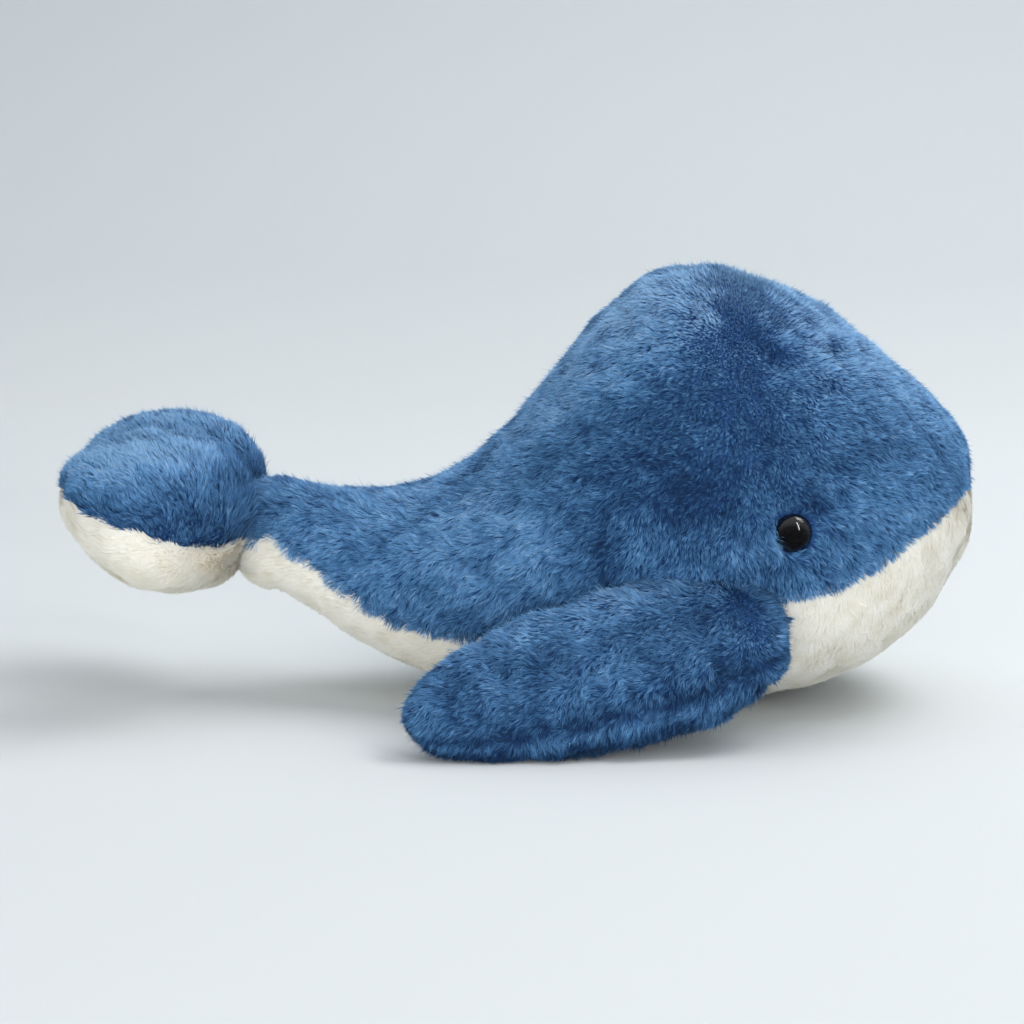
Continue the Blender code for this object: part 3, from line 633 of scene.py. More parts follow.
def turned_mesh(name, profile, segments):
    """A solid turned about Z from points of radius and height."""
    turns = np.arange(segments) * math.tau / segments
    rings = [np.stack([r * np.cos(turns), r * np.sin(turns), np.full(segments, z)], axis=1)
             for r, z in profile]
    return filling_mesh(name, np.array(rings))


# Materials


def linear(red, green, blue):
    """A colour from its values as seen on a screen, from 0 to 255."""
    shares = np.array([red, green, blue]) / 255
    low = shares / 12.92
    high = ((shares + 0.055) / 1.055) ** 2.4
    return (*np.where(shares <= 0.04045, low, high).tolist(), 1.0)


def new_material(name):
    """An empty node material with its shader joined to its output."""
    made = bpy.data.materials.new(name)
    made.use_nodes = True
    nodes = made.node_tree.nodes
    return made, nodes, made.node_tree.links, nodes["Principled BSDF"]


def ramp(nodes, stops):
    """A colour ramp through stops of place and colour."""
    node = nodes.new("ShaderNodeValToRGB")
    elements = node.color_ramp.elements
    while len(elements) < len(stops):
        elements.new(0.5)
    for element, (place, colour) in zip(elements, stops):
        element.position = place
        element.color = colour
    return node


def maths(nodes, operation, *values, kind="Math"):
    """A node that works out one operation, with constants on its last sockets."""
    node = nodes.new(f"ShaderNode{kind}")
    node.operation = operation
    for socket, value in zip(node.inputs[1:], values):
        socket.default_value = value
    return node


def mixed(nodes, links, first, second):
    """A mix of two shaders on the material's output."""
    blend = nodes.new("ShaderNodeMixShader")
    links.new(first.outputs[0], blend.inputs[1])
    links.new(second.outputs[0], blend.inputs[2])
    links.new(blend.outputs[0], nodes["Material Output"].inputs["Surface"])
    return blend


def strand_normal(nodes, links):
    """The shading normal of strands. Those seen from behind are turned to the viewer and up."""
    spot = nodes.new("ShaderNodeNewGeometry")
    facing = maths(nodes, "MULTIPLY_ADD", (BACK_FACING,) * 3, BACK_LIGHT, kind="VectorMath")
    lift = maths(nodes, "SCALE", kind="VectorMath")
    lifted = maths(nodes, "ADD", kind="VectorMath")
    evened = maths(nodes, "NORMALIZE", kind="VectorMath")
    links.new(spot.outputs["True Normal"], facing.inputs[0])
    links.new(facing.outputs[0], lift.inputs[0])
    links.new(spot.outputs["Backfacing"], lift.inputs["Scale"])
    links.new(spot.outputs["Normal"], lifted.inputs[0])
    links.new(lift.outputs[0], lifted.inputs[1])
    links.new(lifted.outputs[0], evened.inputs[0])
    return evened.outputs[0]


def fur_material(name, tips, roots, sheen, tint, let_through):
    """Pile that is darker towards its roots, as painted shade deep in the pile, and lets some light
    through, with a tone for each strand.
    """
    made, nodes, links, shader = new_material(name)
    uv = nodes.new("ShaderNodeUVMap")
    uv.uv_map = UV_NAME
    split = nodes.new("ShaderNodeSeparateXYZ")
    links.new(uv.outputs["UV"], split.inputs[0])
    tip = ramp(nodes, tips)
    root = ramp(nodes, roots)
    # Root to tip: the darker roots are painted shade
    rise = ramp(nodes, [(0.0, grey(0)), (0.3, grey(0.25)), (0.65, grey(0.8)), (1.0, grey(1))])
    mix = nodes.new("ShaderNodeMix")
    mix.data_type = "RGBA"
    links.new(split.outputs["X"], tip.inputs["Fac"])
    links.new(split.outputs["X"], root.inputs["Fac"])
    links.new(split.outputs["Y"], rise.inputs["Fac"])
    links.new(rise.outputs["Color"], mix.inputs["Factor"])
    links.new(root.outputs["Color"], mix.inputs["A"])
    links.new(tip.outputs["Color"], mix.inputs["B"])
    links.new(mix.outputs["Result"], shader.inputs["Base Color"])
    links.new(strand_normal(nodes, links), shader.inputs["Normal"])
    through = nodes.new("ShaderNodeBsdfTranslucent")
    links.new(mix.outputs["Result"], through.inputs["Color"])
    mixed(nodes, links, shader, through).inputs["Fac"].default_value = let_through
    shader.inputs["Roughness"].default_value = 0.7
    shader.inputs["Specular IOR Level"].default_value = 0.2
    shader.inputs["Sheen Weight"].default_value = sheen
    shader.inputs["Sheen Roughness"].default_value = 0.5
    shader.inputs["Sheen Tint"].default_value = tint
    return made


def grey(value):
    """A colour of one value."""
    return (value, value, value, 1)


def noise_colour(nodes, links, scale, stops):
    """Colours from noise over the object's own space."""
    place = nodes.new("ShaderNodeTexCoord")
    noise = nodes.new("ShaderNodeTexNoise")
    noise.inputs["Scale"].default_value = scale
    noise.inputs["Detail"].default_value = NOISE_DETAIL
    colours = ramp(nodes, stops)
    links.new(place.outputs["Object"], noise.inputs["Vector"])
    links.new(noise.outputs["Fac"], colours.inputs["Fac"])
    return noise, colours


def cloth_material(name, dark, light, scale, height):
    """Cloth or fibre with a fine uneven surface."""
    made, nodes, links, shader = new_material(name)
    noise, colours = noise_colour(nodes, links, scale, [(0.35, dark), (0.65, light)])
    links.new(colours.outputs["Color"], shader.inputs["Base Color"])
    bump = nodes.new("ShaderNodeBump")
    bump.inputs["Distance"].default_value = height
    bump.inputs["Strength"].default_value = 0.6
    links.new(noise.outputs["Fac"], bump.inputs["Height"])
    links.new(bump.outputs["Normal"], shader.inputs["Normal"])
    shader.inputs["Roughness"].default_value = 0.9
    shader.inputs["Specular IOR Level"].default_value = 0.15
    return made


def eye_material():
    """Glossy black plastic that is scuffed at its upper front rim."""
    made, nodes, links, shader = new_material("eye_gloss")
    _, colours = noise_colour(nodes, links, 900, [(0.3, linear(6, 6, 8)), (0.8, linear(20, 20, 23))])
    links.new(colours.outputs["Color"], shader.inputs["Base Color"])
    grain, _ = noise_colour(nodes, links, 1500, [(0.0, grey(0)), (1.0, grey(1))])
    bump = nodes.new("ShaderNodeBump")
    bump.inputs["Distance"].default_value = EYE_GRAIN
    place = nodes.new("ShaderNodeTexCoord")
    split = nodes.new("ShaderNodeSeparateXYZ")
    total = maths(nodes, "ADD")
    scuffed = nodes.new("ShaderNodeMapRange")
    middle = EYE_CENTRE[0] + EYE_CENTRE[2]
    scuffed.inputs["From Min"].default_value = middle + EYE_RADIUS * 0.75
    scuffed.inputs["From Max"].default_value = middle + EYE_RADIUS * 1.1
    scuffed.inputs["To Min"].default_value = 0.05
    links.new(place.outputs["Object"], split.inputs[0])
    links.new(split.outputs["X"], total.inputs[0])
    links.new(split.outputs["Z"], total.inputs[1])
    links.new(total.outputs[0], scuffed.inputs["Value"])
    links.new(scuffed.outputs["Result"], bump.inputs["Strength"])
    links.new(grain.outputs["Fac"], bump.inputs["Height"])
    links.new(bump.outputs["Normal"], shader.inputs["Normal"])
    _, rough = noise_colour(nodes, links, 1600, [(0.45, grey(0.03)), (0.75, grey(0.14))])
    links.new(rough.outputs["Color"], shader.inputs["Roughness"])
    shader.inputs["Specular IOR Level"].default_value = 1.0
    return made


def washer_material():
    """Milky pressed plastic."""
    made, nodes, links, shader = new_material("washer_plastic")
    stops = [(0.3, linear(205, 210, 214)), (0.7, linear(228, 231, 234))]
    _, colours = noise_colour(nodes, links, 500, stops)
    links.new(colours.outputs["Color"], shader.inputs["Base Color"])
    _, rough = noise_colour(nodes, links, 1400, [(0.3, grey(0.28)), (0.7, grey(0.42))])
    links.new(rough.outputs["Color"], shader.inputs["Roughness"])
    shader.inputs["Transmission Weight"].default_value = 0.35
    return made


# Tip colours by tone, then root colours by tone. The blue's dark roots are painted shade, and its lightest
# tips carry the painted highlights.
FUR = {
    "blue": fur_material(
        "blue_pile",
        [(0.0, linear(26, 56, 98)), (0.2, linear(57, 102, 151)), (0.4, linear(86, 140, 190)),
         (0.6, linear(110, 168, 218)), (0.8, linear(142, 200, 246)), (1.0, linear(180, 220, 250))],
        [(0.0, linear(12, 30, 64)), (0.3, linear(26, 58, 106)), (0.6, linear(50, 94, 148)),
         (1.0, linear(106, 156, 208))],
        0.7,
        linear(128, 184, 240),
        0.26,
    ),
    "cream": fur_material(
        "cream_pile",
        [(0.0, linear(241, 237, 223)), (0.4, linear(251, 249, 241)), (1.0, linear(254, 253, 248))],
        [(0.0, linear(241, 235, 220)), (1.0, linear(248, 245, 234))],
        0.3,
        linear(255, 252, 244),
        0.16,
    ),
}
# The blue backing is the cloth's own blue, made darker than the pile: painted shade between the strands
CLOTH = {
    "blue": cloth_material("blue_backing", linear(30, 60, 108), linear(52, 92, 146), 700, 0.0006),
    "cream": cloth_material("cream_backing", linear(250, 247, 238), linear(254, 252, 246), 700, 0.0001),
}
FIBRE = cloth_material("fibre", linear(222, 222, 218), linear(246, 246, 244), 420, 0.002)


# Pieces


def add_piece(name, mesh, finish, body, node):
    """A piece that rides on a body and stands for a CAD node."""
    mesh.materials.append(finish)
    mesh.shade_smooth()
    piece = bpy.data.objects.new(name, mesh)
    bpy.context.scene.collection.objects.link(piece)
    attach(piece, body)
    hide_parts(node)


def add_filling(name, points, normals, body, node):
    """The stuffing inside a form's cloth."""
    mesh = filling_mesh(name, points - normals * (PLUSH + FIT_GAP))
    add_piece(name, mesh, FIBRE, body, node)


def add_cloth(name, outer, inner, colour, body, node):
    """A panel's cloth, between grids of its outer and inner points."""
    mesh = shell_mesh(name, outer, inner)
    add_piece(name, mesh, CLOTH[colour], body, node)


def add_pile(name, strands, kept, rng, colour, body, node):
    """The pile of a panel or of a length of it."""
    mesh = fur_mesh(*(values[kept] for values in strands), rng, colour)
    add_piece(name, mesh, FUR[colour], body, node)


# Pile


def scattered(points, depth, gaps, normals, columns, rng):
    """Random places over some columns, with the cloth's depth, the seams' gap and normals there."""
    grid = np.concatenate([points, depth[..., None], gaps[..., None], normals], axis=2)[:, columns]
    p = grid[..., :3]
    spread = np.cross(p[1:, 1:] - p[:-1, :-1], p[1:, :-1] - p[:-1, 1:])
    area = np.linalg.norm(spread, axis=-1) / 2
    count = int(area.sum() * STRANDS_PER_AREA)
    cells = rng.choice(area.size, count, p=area.ravel() / area.sum())
    r, c = np.divmod(cells, area.shape[1])
    s, t = rng.random((2, count, 1))
    near = grid[r, c] * (1 - t) + grid[r, c + 1] * t
    far = grid[r + 1, c] * (1 - t) + grid[r + 1, c + 1] * t
    found = near * (1 - s) + far * s
    return found[:, :3], found[:, 3], found[:, 4], unit(found[:, 5:])


def lock_centres(roots, rng):
    """For each strand, the strand in the middle of the lock that it belongs to."""
    chosen = rng.choice(len(roots), max(1, len(roots) // LOCK_STRANDS), replace=False)
    tree = kdtree.KDTree(len(chosen))
    for k in chosen:
        tree.insert(roots[k], int(k))
    tree.balance()
    return np.array([tree.find(root)[1] for root in roots])


def turned_about(vectors, axes, angles):
    """Vectors that lie across their axes, turned about them."""
    across = np.cross(axes, vectors)
    return vectors * np.cos(angles)[:, None] + across * np.sin(angles)[:, None]


def fur_mesh(roots, normals, combs, heights, tones, rng, colour):
    """Leaf-shaped strands, drawn together in locks."""
    count = len(roots)
    rough, stray_rise, roll_spread, broad, flat = PILE_KINDS[colour]
    centres = lock_centres(roots, rng)
    combs = combs - normals * (combs * normals).sum(axis=1, keepdims=True)
    lock_turn = rng.normal(0, LOCK_TURN * rough, count)[centres]
    lock_rise = rng.normal(0, LOCK_RISE * rough, count)[centres]
    lock_tone = rng.normal(0, LOCK_TONE, count)[centres]
    turn = SWELL_TURN * waves(roots, LOCK_SWELL, 5) + lock_turn + rng.normal(0, STRAND_TURN, count)
    combs = turned_about(combs, normals, turn)
    combs = combs + STRAND_LEAN * rng.normal(size=(count, 3))
    heights = heights * (1 + lock_rise + rng.normal(0, STRAND_RISE * rough, count))
    heights = heights * (1 + SWELL_RISE * rough * waves(roots, HEIGHT_SWELL, 6))
    tips = roots + combs * STRAND_REACH + normals * heights[:, None]
    pull = rng.uniform(*LOCK_PULL, (count, 1)) * rough
    stray = rng.random(count) < STRAY_SHARE
    pull[stray] = 0
    tips = tips + (tips[centres] - tips) * pull
    tips[stray] += (normals * heights[:, None] * stray_rise)[stray]
    mids = roots + (tips - roots) * STRAND_MIDDLE + normals * (heights * STRAND_BOW)[:, None]
    way = tips - roots
    side = unit(np.cross(way, normals) + 1e-5 * rng.normal(size=(count, 3)))
    up = unit(np.cross(side, way))
    roll = rng.normal(0, roll_spread, count)[:, None]
    across = side * np.cos(roll) + up * np.sin(roll)
    half = across * (STRAND_WIDTH / 2 * broad * rng.uniform(*STRAND_WIDTHS, (count, 1)))
    points = np.stack([roots, mids + half, tips, mids - half], axis=1)
    points[..., 2] = np.maximum(points[..., 2], FLOOR_CLEARANCE)
    mesh = bpy.data.meshes.new("pile")
    mesh.vertices.add(4 * count)
    mesh.vertices.foreach_set("co", points.astype(np.float32).ravel())
    corners = np.arange(count)[:, None] * 4 + np.array([0, 1, 3, 3, 1, 2])
    mesh.loops.add(6 * count)
    mesh.loops.foreach_set("vertex_index", corners.astype(np.int32).ravel())
    mesh.polygons.add(2 * count)
    mesh.polygons.foreach_set("loop_start", (np.arange(2 * count) * 3).astype(np.int32))
    mesh.update(calc_edges=True)
    tones = np.clip(tones + lock_tone + rng.normal(0, STRAND_TONE, count), *TONE_ENDS)
    u = tones[:, None] + np.array([0, 1, -1, -1, 1, 0]) * TONE_STEP
    v = np.broadcast_to(np.array([TONE_ENDS[0], *[0.5] * 4, TONE_ENDS[1]]), u.shape)
    layer = mesh.uv_layers.new(name=UV_NAME, do_init=False)
    layer.uv.foreach_set("vector", np.stack([u, v], axis=-1).astype(np.float32).ravel())
    noise = SHADING_NOISE * rng.normal(size=(count, 3))
    shading = np.repeat(unit(normals * flat + up * (1 - flat) + noise), 4, axis=0)
    mesh.normals_split_custom_set_from_vertices(shading.astype(np.float32).tolist())
    return mesh


def combed(points, table):
    """The way the pile leans at each place, between the table's nearest ones."""
    table = np.array(table)
    away = (points[:, None, 0] - table[:, 0]) ** 2 + (points[:, None, 2] - table[:, 1]) ** 2
    nearest = away.min(axis=1, keepdims=True)
    weights = np.exp(-(away - nearest) / (2 * COMB_SPREAD**2))
    weights /= weights.sum(axis=1, keepdims=True)
    lean = weights @ table[:, 2:]
    return np.stack([lean[:, 0], np.zeros(len(points)), lean[:, 1]], axis=1)


def from_eye(points):
    """How far points lie from an eye's axis, and the way from it."""
    folded = points.copy()
    folded[:, 1] = -np.abs(folded[:, 1])
    gap = folded - np.array(EYE_CENTRE)
    gap = gap - (gap @ np.array(EYE_OUT))[:, None] * np.array(EYE_OUT)
    away = np.linalg.norm(gap, axis=1)
    way = unit(gap)
    way[:, 1] *= np.where(points[:, 1] > 0, -1, 1)
    return away, way


def skin_depth(points, sink, shallow):
    """How deep the cloth lies under the body's surface: deeper at seams and round the eyes."""
    shape = points.shape
    flat = points.reshape(-1, 3)
    away, _ = from_eye(flat)
    dip = (PILE - SKIN_INSET) * np.exp(-((away / EYE_DIP_REACH) ** 4))
    hollow_at = np.array(EYE_CENTRE) + np.array(EYE_HOLLOW_AT)
    folded = np.abs(flat) * np.array([0, -1, 0]) + flat * np.array([1, 0, 1])
    hollow = np.linalg.norm((folded - hollow_at)[:, [0, 2]], axis=1)
    hollowed = np.exp(-((hollow / EYE_HOLLOW_REACH) ** 2)) * (folded[:, 1] < -FLANK_FROM)
    dip = dip + EYE_HOLLOW_DEPTH * hollowed
    lumps = BODY_LUMPS * waves(flat, BROAD_SWELL, 11)
    return SKIN_INSET * shallow + sink + (dip + lumps).reshape(shape[:2])


def ring_lengths(points):
    """How far each point lies along its ring, and how long the ring is."""
    steps = np.linalg.norm(np.roll(points, -1, axis=1) - points, axis=2)
    along = np.concatenate([np.zeros((len(points), 1)), np.cumsum(steps, axis=1)], axis=1)
    return along[:, :-1], along[:, -1:]


def seam_gap(points, column):
    """How far each point of a form lies from the seam at a column."""
    along, girth = ring_lengths(points)
    away = np.abs(along - along[:, column:column + 1])
    return np.minimum(away, girth - away)


def column_sink(points, seams, depth, reach):
    """How far each point of a form sinks beside its seams."""
    sinks = [share * np.exp(-((seam_gap(points, column) / reach) ** 2)) for column, share in seams]
    girth = ring_lengths(points)[1]
    return depth * np.max(sinks, axis=0) * np.clip(girth / (math.tau * TAIL_RADIUS), 0, 1)


def uneven(points, base, broad, narrow, seed):
    """Tones that swell about a base, broadly and narrowly."""
    tone = base + broad * waves(points, BROAD_SWELL, seed)
    return tone + narrow * waves(points, NARROW_SWELL, seed + 1)


def body_tones(points, out, colour):
    """Lighter and darker places of the body's pile: uneven, and on the blue painted highlights and painted
    shade.
    """
    if colour == "cream":
        return 0.5 + 0.14 * waves(points, 0.008, 23) + 0.10 * waves(points, 0.024, 28)
    tone = uneven(points, 0.40, 0.05, 0.05, 21)
    # Painted highlights: lighter higher up, where the pile faces up, and over the upper rear
    high = eased(points[:, 2], 0.095, 0.140)
    tone = tone + 0.15 * high + (0.04 + 0.34 * high) * eased(out[:, 2], 0.45, 0.95)
    tone = tone + 0.17 * eased(points[:, 2] - points[:, 0], 0.070, 0.110)
    # Painted rim highlight where the pile turns away from the side, and a painted highlight towards the
    # head
    painted_rim = eased(1 - np.abs(out[:, 1]), 0.35, 0.95) * eased(out[:, 2], -0.2, 0.4)
    tone = tone + 0.20 * painted_rim + 0.08 * eased(points[:, 0], 0.090, 0.130)
    patch = ((points[:, 0] + 0.010) / 0.026) ** 2 + ((points[:, 2] - 0.066) / 0.024) ** 2
    tone = tone + 0.22 * np.exp(-(patch**2)) * (np.abs(points[:, 1]) > FLANK_FROM)
    # Painted shade in the patches
    for x, z, across, high, share in PAINTED_SHADE_PATCHES:
        patch = ((points[:, 0] - x) / across) ** 2 + ((points[:, 2] - z) / high) ** 2
        tone = tone - share * np.exp(-patch)
    return tone


def body_heights(points, axes, centre):
    """How high the pile stands on the body: less by the eyes, and pressed under the flippers."""
    away, _ = from_eye(points)
    near = eased(away, EYE_RADIUS, EYE_RADIUS + 0.007)
    folded = points * np.array([1, 0, 1]) - np.abs(points) * np.array([0, 1, 0])
    local = (folded - centre) @ axes
    length = FLIPPER_LENGTH - FLIPPER_FRONT
    along = np.where(local[:, 0] < 0.3 * length, local[:, 0] + FLIPPER_FRONT,
                     (length - local[:, 0]) * 0.6) / (0.3 * length + FLIPPER_FRONT)
    width = FLIPPER_WIDTH / 2 * np.sqrt(np.clip(1 - (1 - np.clip(along, 0, 1)) ** 2, 0, 1))
    under = 1 - eased(np.abs(local[:, 1]) - width, -0.004, 0.002)
    under *= np.abs(points[:, 1]) > 0.02
    hump = np.exp(-(((points[:, 0] - 0.035) / 0.030) ** 2)) * eased(points[:, 2], 0.125, 0.150)
    trimmed = 1 - 0.35 * hump - 0.25 * eased(points[:, 0], 0.120, 0.150)
    return SKIN_INSET * (0.55 + 0.45 * near) * (1 - 0.6 * under) * trimmed


def body_combs(places, gap, colour):
    """How the body's pile is combed. Tufts of the blue hang over the seam."""
    if colour == "cream":
        return combed(places, BELLY_COMBS)
    tufts = 0.5 + 0.45 * waves(places, 0.011, 31) + 0.3 * waves(places, 0.03, 32)
    edge = (1 - eased(gap, EDGE_GAP, EDGE_REACH)) * np.clip(tufts, 0, 1.6)
    hang = 0.30 + 0.60 * (1 - eased(places[:, 0], -0.06, 0.06))
    return combed(places, BACK_COMBS) + (edge * hang)[:, None] * np.array([-0.15, 0.0, -1.0])


def combed_round_eyes(combs, away, way):
    """The pile combed round the eyes, and how much of it lies close behind one."""
    near = (1 - eased(away, EYE_RADIUS + 0.0010, EYE_RADIUS + 0.0055))[:, None]
    round_eye = way[:, [2, 1, 0]] * np.array([-1, 0, 1])
    rear = eased(-way @ np.array([0.7, 0.0, 0.7]), -0.3, 0.6)[:, None]
    ring = way * (0.55 - 1.0 * rear) + round_eye * 0.7 * rear + combs * 0.3
    return combs * (1 - near) + ring * near, (near * rear)[:, 0]


def add_body():
    """The body's cloth, stuffing and pile."""
    axes, centre = flipper_placing(flipper_rings())
    points = body_rings()
    normals = closed_normals(points)
    seam = BACK_COLUMNS
    far = BACK_COLUMNS + 2 * BELLY_COLUMNS
    sink = column_sink(points, ((0, 0.5), (seam, 1), (far, 1)), SEAM_SINK, SEAM_REACH)
    columns = points.shape[1]
    count = np.arange(columns)
    into_belly = np.clip(np.minimum(count - seam, far - count) / SEAM_COLUMNS, 0, 1)
    shallow = 1 - (1 - LOOSE_SHARE) * into_belly
    depth = skin_depth(points, sink, shallow)
    gaps = np.minimum(seam_gap(points, seam), seam_gap(points, far))
    skin = points - normals * depth[..., None]
    inner = points - normals * PLUSH
    panels = [
        ("back_{}_right", "back_panel_right", np.arange(0, seam + 1), "blue"),
        ("back_{}_left", "back_panel_left", np.arange(far, columns + 1) % columns, "blue"),
        ("belly_{}", "belly_panel", np.arange(seam, far + 1), "cream"),
    ]
    add_filling("body_filling", points, normals, "body", "body_stuffing")
    for seed, (name, node, chosen, colour) in enumerate(panels):
        add_cloth(name.format("cloth"), skin[:, chosen], inner[:, chosen], colour, "body", node)
        rng = np.random.default_rng(100 + seed)
        places, sunk, gap, out = scattered(points, depth, gaps, normals, chosen, rng)
        away, way = from_eye(places)
        combs, behind = combed_round_eyes(body_combs(places, gap, colour), away, way)
        heights = body_heights(places, axes, centre) * HEIGHT_SHARES[colour] * (1 + 2.0 * behind)
        tones = body_tones(places, out, colour) + 0.14 * behind
        roots = places - out * sunk[:, None]
        keep = away > EYE_RADIUS + EYE_CLEARANCE
        keep &= places[:, 0] > TAIL_X - TAIL_RADIUS * 0.75
        keep &= roots[:, 2] > ROOT_CLEARANCE
        strands = (roots, out, combs, heights, tones)
        head = places[:, 0] >= PILE_PARTS[colour][0]
        tail = places[:, 0] < PILE_PARTS[colour][1]
        parts = {"head": keep & head, "middle": keep & ~head & ~tail, "tail": keep & tail}
        for part, kept in parts.items():
            add_pile(name.format(f"pile_{part}"), strands, kept, rng, colour, "body", node)


def limb_pieces(limb, side, body, points, sink, panels, comb, tone, seed):
    """A limb's stuffing, and its two panels of cloth and pile."""
    normals = closed_normals(points)
    columns = points.shape[1]
    count = np.arange(columns)
    cream = panels[1][1] == "cream"
    into_second = np.clip(np.minimum(count - LIMB_COLUMNS, columns - count) / SEAM_COLUMNS, 0, 1) * cream
    shallow = 1 - (1 - LOOSE_SHARE) * into_second
    depth = SKIN_INSET * shallow + sink + LIMB_LUMPS * waves(points, LIMB_SWELL, 12)
    gaps = np.minimum(seam_gap(points, 0), seam_gap(points, LIMB_COLUMNS))
    skin = points - normals * depth[..., None]
    inner = points - normals * PLUSH
    name = f"{limb}_{side}"
    add_filling(f"{name}_filling", points, normals, body, f"{name}_stuffing")
    halves = (np.arange(0, LIMB_COLUMNS + 1), np.arange(LIMB_COLUMNS, columns + 1) % columns)
    for k, (panel, colour) in enumerate(panels):
        chosen = halves[k]
        node = f"{name}_{panel}_panel"
        add_cloth(f"{name}_{panel}_cloth", skin[:, chosen], inner[:, chosen], colour, body, node)
        rng = np.random.default_rng(seed + k)
        places, sunk, gap, out = scattered(points, depth, gaps, normals, chosen, rng)
        roots = places - out * sunk[:, None]
        covered = half_width(roots[:, 0], roots[:, 2]) - np.abs(roots[:, 1]) > ROOT_COVER
        keep = (roots[:, 2] > ROOT_CLEARANCE) & ~covered
        heights = np.full(len(places), SKIN_INSET * HEIGHT_SHARES[colour])
        strands = (roots, out, comb(places, gap, colour), heights, tone(places, out, colour))
        add_pile(f"{name}_{panel}_pile", strands, keep, rng, colour, body, node)


def add_flippers():
    """Both flippers' pieces."""
    rings = flipper_rings()
    axes, centre = flipper_placing(rings)
    sink = column_sink(rings, ((0, 1), (LIMB_COLUMNS, 0.4)), FLIPPER_SINK, FLIPPER_SINK_REACH)
    seam = math.radians(FLIPPER_SEAM_DEG)
    for side, across, seed in (("right", np.ones(3), 200), ("left", ACROSS, 210)):
        points = (rings @ axes.T + centre) * across

        def comb(places, gap, colour):
            local = (places * across - centre) @ axes
            front = eased(-local[:, 0], -0.012, 0.012)
            low = eased(local[:, 1], 0.008, 0.024)
            top = eased(-local[:, 1], 0.004, 0.020)
            way = np.stack([
                0.95 - 1.80 * front - 0.35 * low,
                0.30 + 0.80 * low + 0.15 * front - top * (0.25 + 0.70 * front),
                np.zeros(len(places)),
            ], axis=1)
            return way @ axes.T * across

        def tone(places, out, colour):
            local = (places * across - centre) @ axes
            tone = uneven(places, 0.40, 0.05, 0.05, 24)
            # Painted highlight along the flipper's top edge
            tone = tone + 0.36 * eased(-local[:, 1], 0.006, 0.026)
            turn = np.arctan2(local[:, 2] / FLIPPER_THICKNESS, local[:, 1] / FLIPPER_WIDTH)
            below = seam - turn
            # Painted shade in the crease just below the seam
            tone = tone - 0.34 * np.exp(-(((below - 0.06) / 0.14) ** 2))
            # Painted shade over the lower band, which faces down
            under = eased(below, 0.22, 0.60) * (turn > -math.pi / 2)
            tone = tone - 0.46 * under * eased(local[:, 0], 0.000, 0.045)
            patch = ((local[:, 0] - 0.006) / 0.018) ** 2 + ((local[:, 1] + 0.004) / 0.010) ** 2
            return tone - 0.10 * np.exp(-patch)

        limb_pieces("flipper", side, f"flipper_{side}", points, sink,
                    (("outer", "blue"), ("inner", "blue")), comb, tone, seed)


def add_fluke():
    """Both lobes' pieces, which turn with the fluke."""
    rings = lobe_rings()
    sink = column_sink(rings, ((0, 0.6), (LIMB_COLUMNS, 0.6)), SEAM_SINK, FLUKE_SINK_REACH)
    for side, across, seed in (("right", np.ones(3), 300), ("left", ACROSS, 310)):
        points = rings * across

        def comb(places, gap, colour):
            way = unit((places - np.array(FLUKE_COMB_FROM)) * np.array([1, 0, 1]))
            if colour == "cream":
                lip = np.exp(-(((places[:, 0] - CREASE_X) / 0.007) ** 2))
                way = way + lip[:, None] * np.array([0.9, 0.0, 0.2])
            else:
                lip = eased(places[:, 0], CREASE_X - 0.014, CREASE_X - 0.004)[:, None]
                way = way * (0.55 + 0.45 * eased(gap, EDGE_GAP, EDGE_REACH)[:, None] + 0.6 * lip)
                tufts = 0.6 + 0.5 * waves(places, 0.012, 33) + 0.3 * waves(places, 0.03, 34)
                edge = (1 - eased(gap, EDGE_GAP, EDGE_REACH)) * np.clip(tufts, 0, 1.8)
                way = 0.9 * way + edge[:, None] * np.array([-0.2, 0.0, 0.8])
            return way

        def tone(places, out, colour):
            tone = uneven(places, 0.36, 0.05, 0.04, 26)
            if colour == "cream":
                return tone + 0.15
            # Painted highlights where the pile faces up and over the top of the lobes
            tone = tone - 0.04 + 0.26 * eased(out[:, 2], 0.45, 0.95)
            return tone + 0.36 * eased(places[:, 2], 0.074, 0.098)

        limb_pieces("fluke", side, "fluke", points, sink,
                    (("upper", "blue"), ("lower", "cream")), comb, tone, seed)


def add_eyes():
    """Glossy domed eyes on their shanks."""
    profile = [(0, EYE_RIM + EYE_DOME)]
    for k in range(1, DOME_STEPS + 1):
        turn = math.pi / 2 * k / DOME_STEPS
        profile.append((EYE_RADIUS * math.sin(turn), EYE_RIM + EYE_DOME * math.cos(turn)))
    bevel = FIT_GAP
    profile += [(EYE_RADIUS, 2 * bevel), (EYE_RADIUS - bevel, bevel), (SHANK_RADIUS, bevel)]
    profile += [(SHANK_RADIUS, SHANK_RADIUS - SHANK_LENGTH), (0, -SHANK_LENGTH)]
    finish = eye_material()
    turn = Vector((0, 0, 1)).rotation_difference(EYE_OUT).to_matrix().to_4x4()
    for side in ("right", "left"):
        mesh = turned_mesh(f"eye_{side}_dome", profile, EYE_SEGMENTS)
        mesh.transform(Matrix.Translation(EYE_CENTRE) @ turn)
        if side == "left":
            mesh.transform(Matrix.Scale(-1, 4, Vector((0, 1, 0))))
            mesh.flip_normals()
        add_piece(f"eye_{side}_dome", mesh, finish, "body", f"eye_{side}")


def dress_washers():
    """The washers keep their CAD shape."""
    finish = washer_material()
    for side in ("right", "left"):
        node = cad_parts[f"eye_washer_{side}"]
        node.data.materials.clear()
        node.data.materials.append(finish)


# Studio


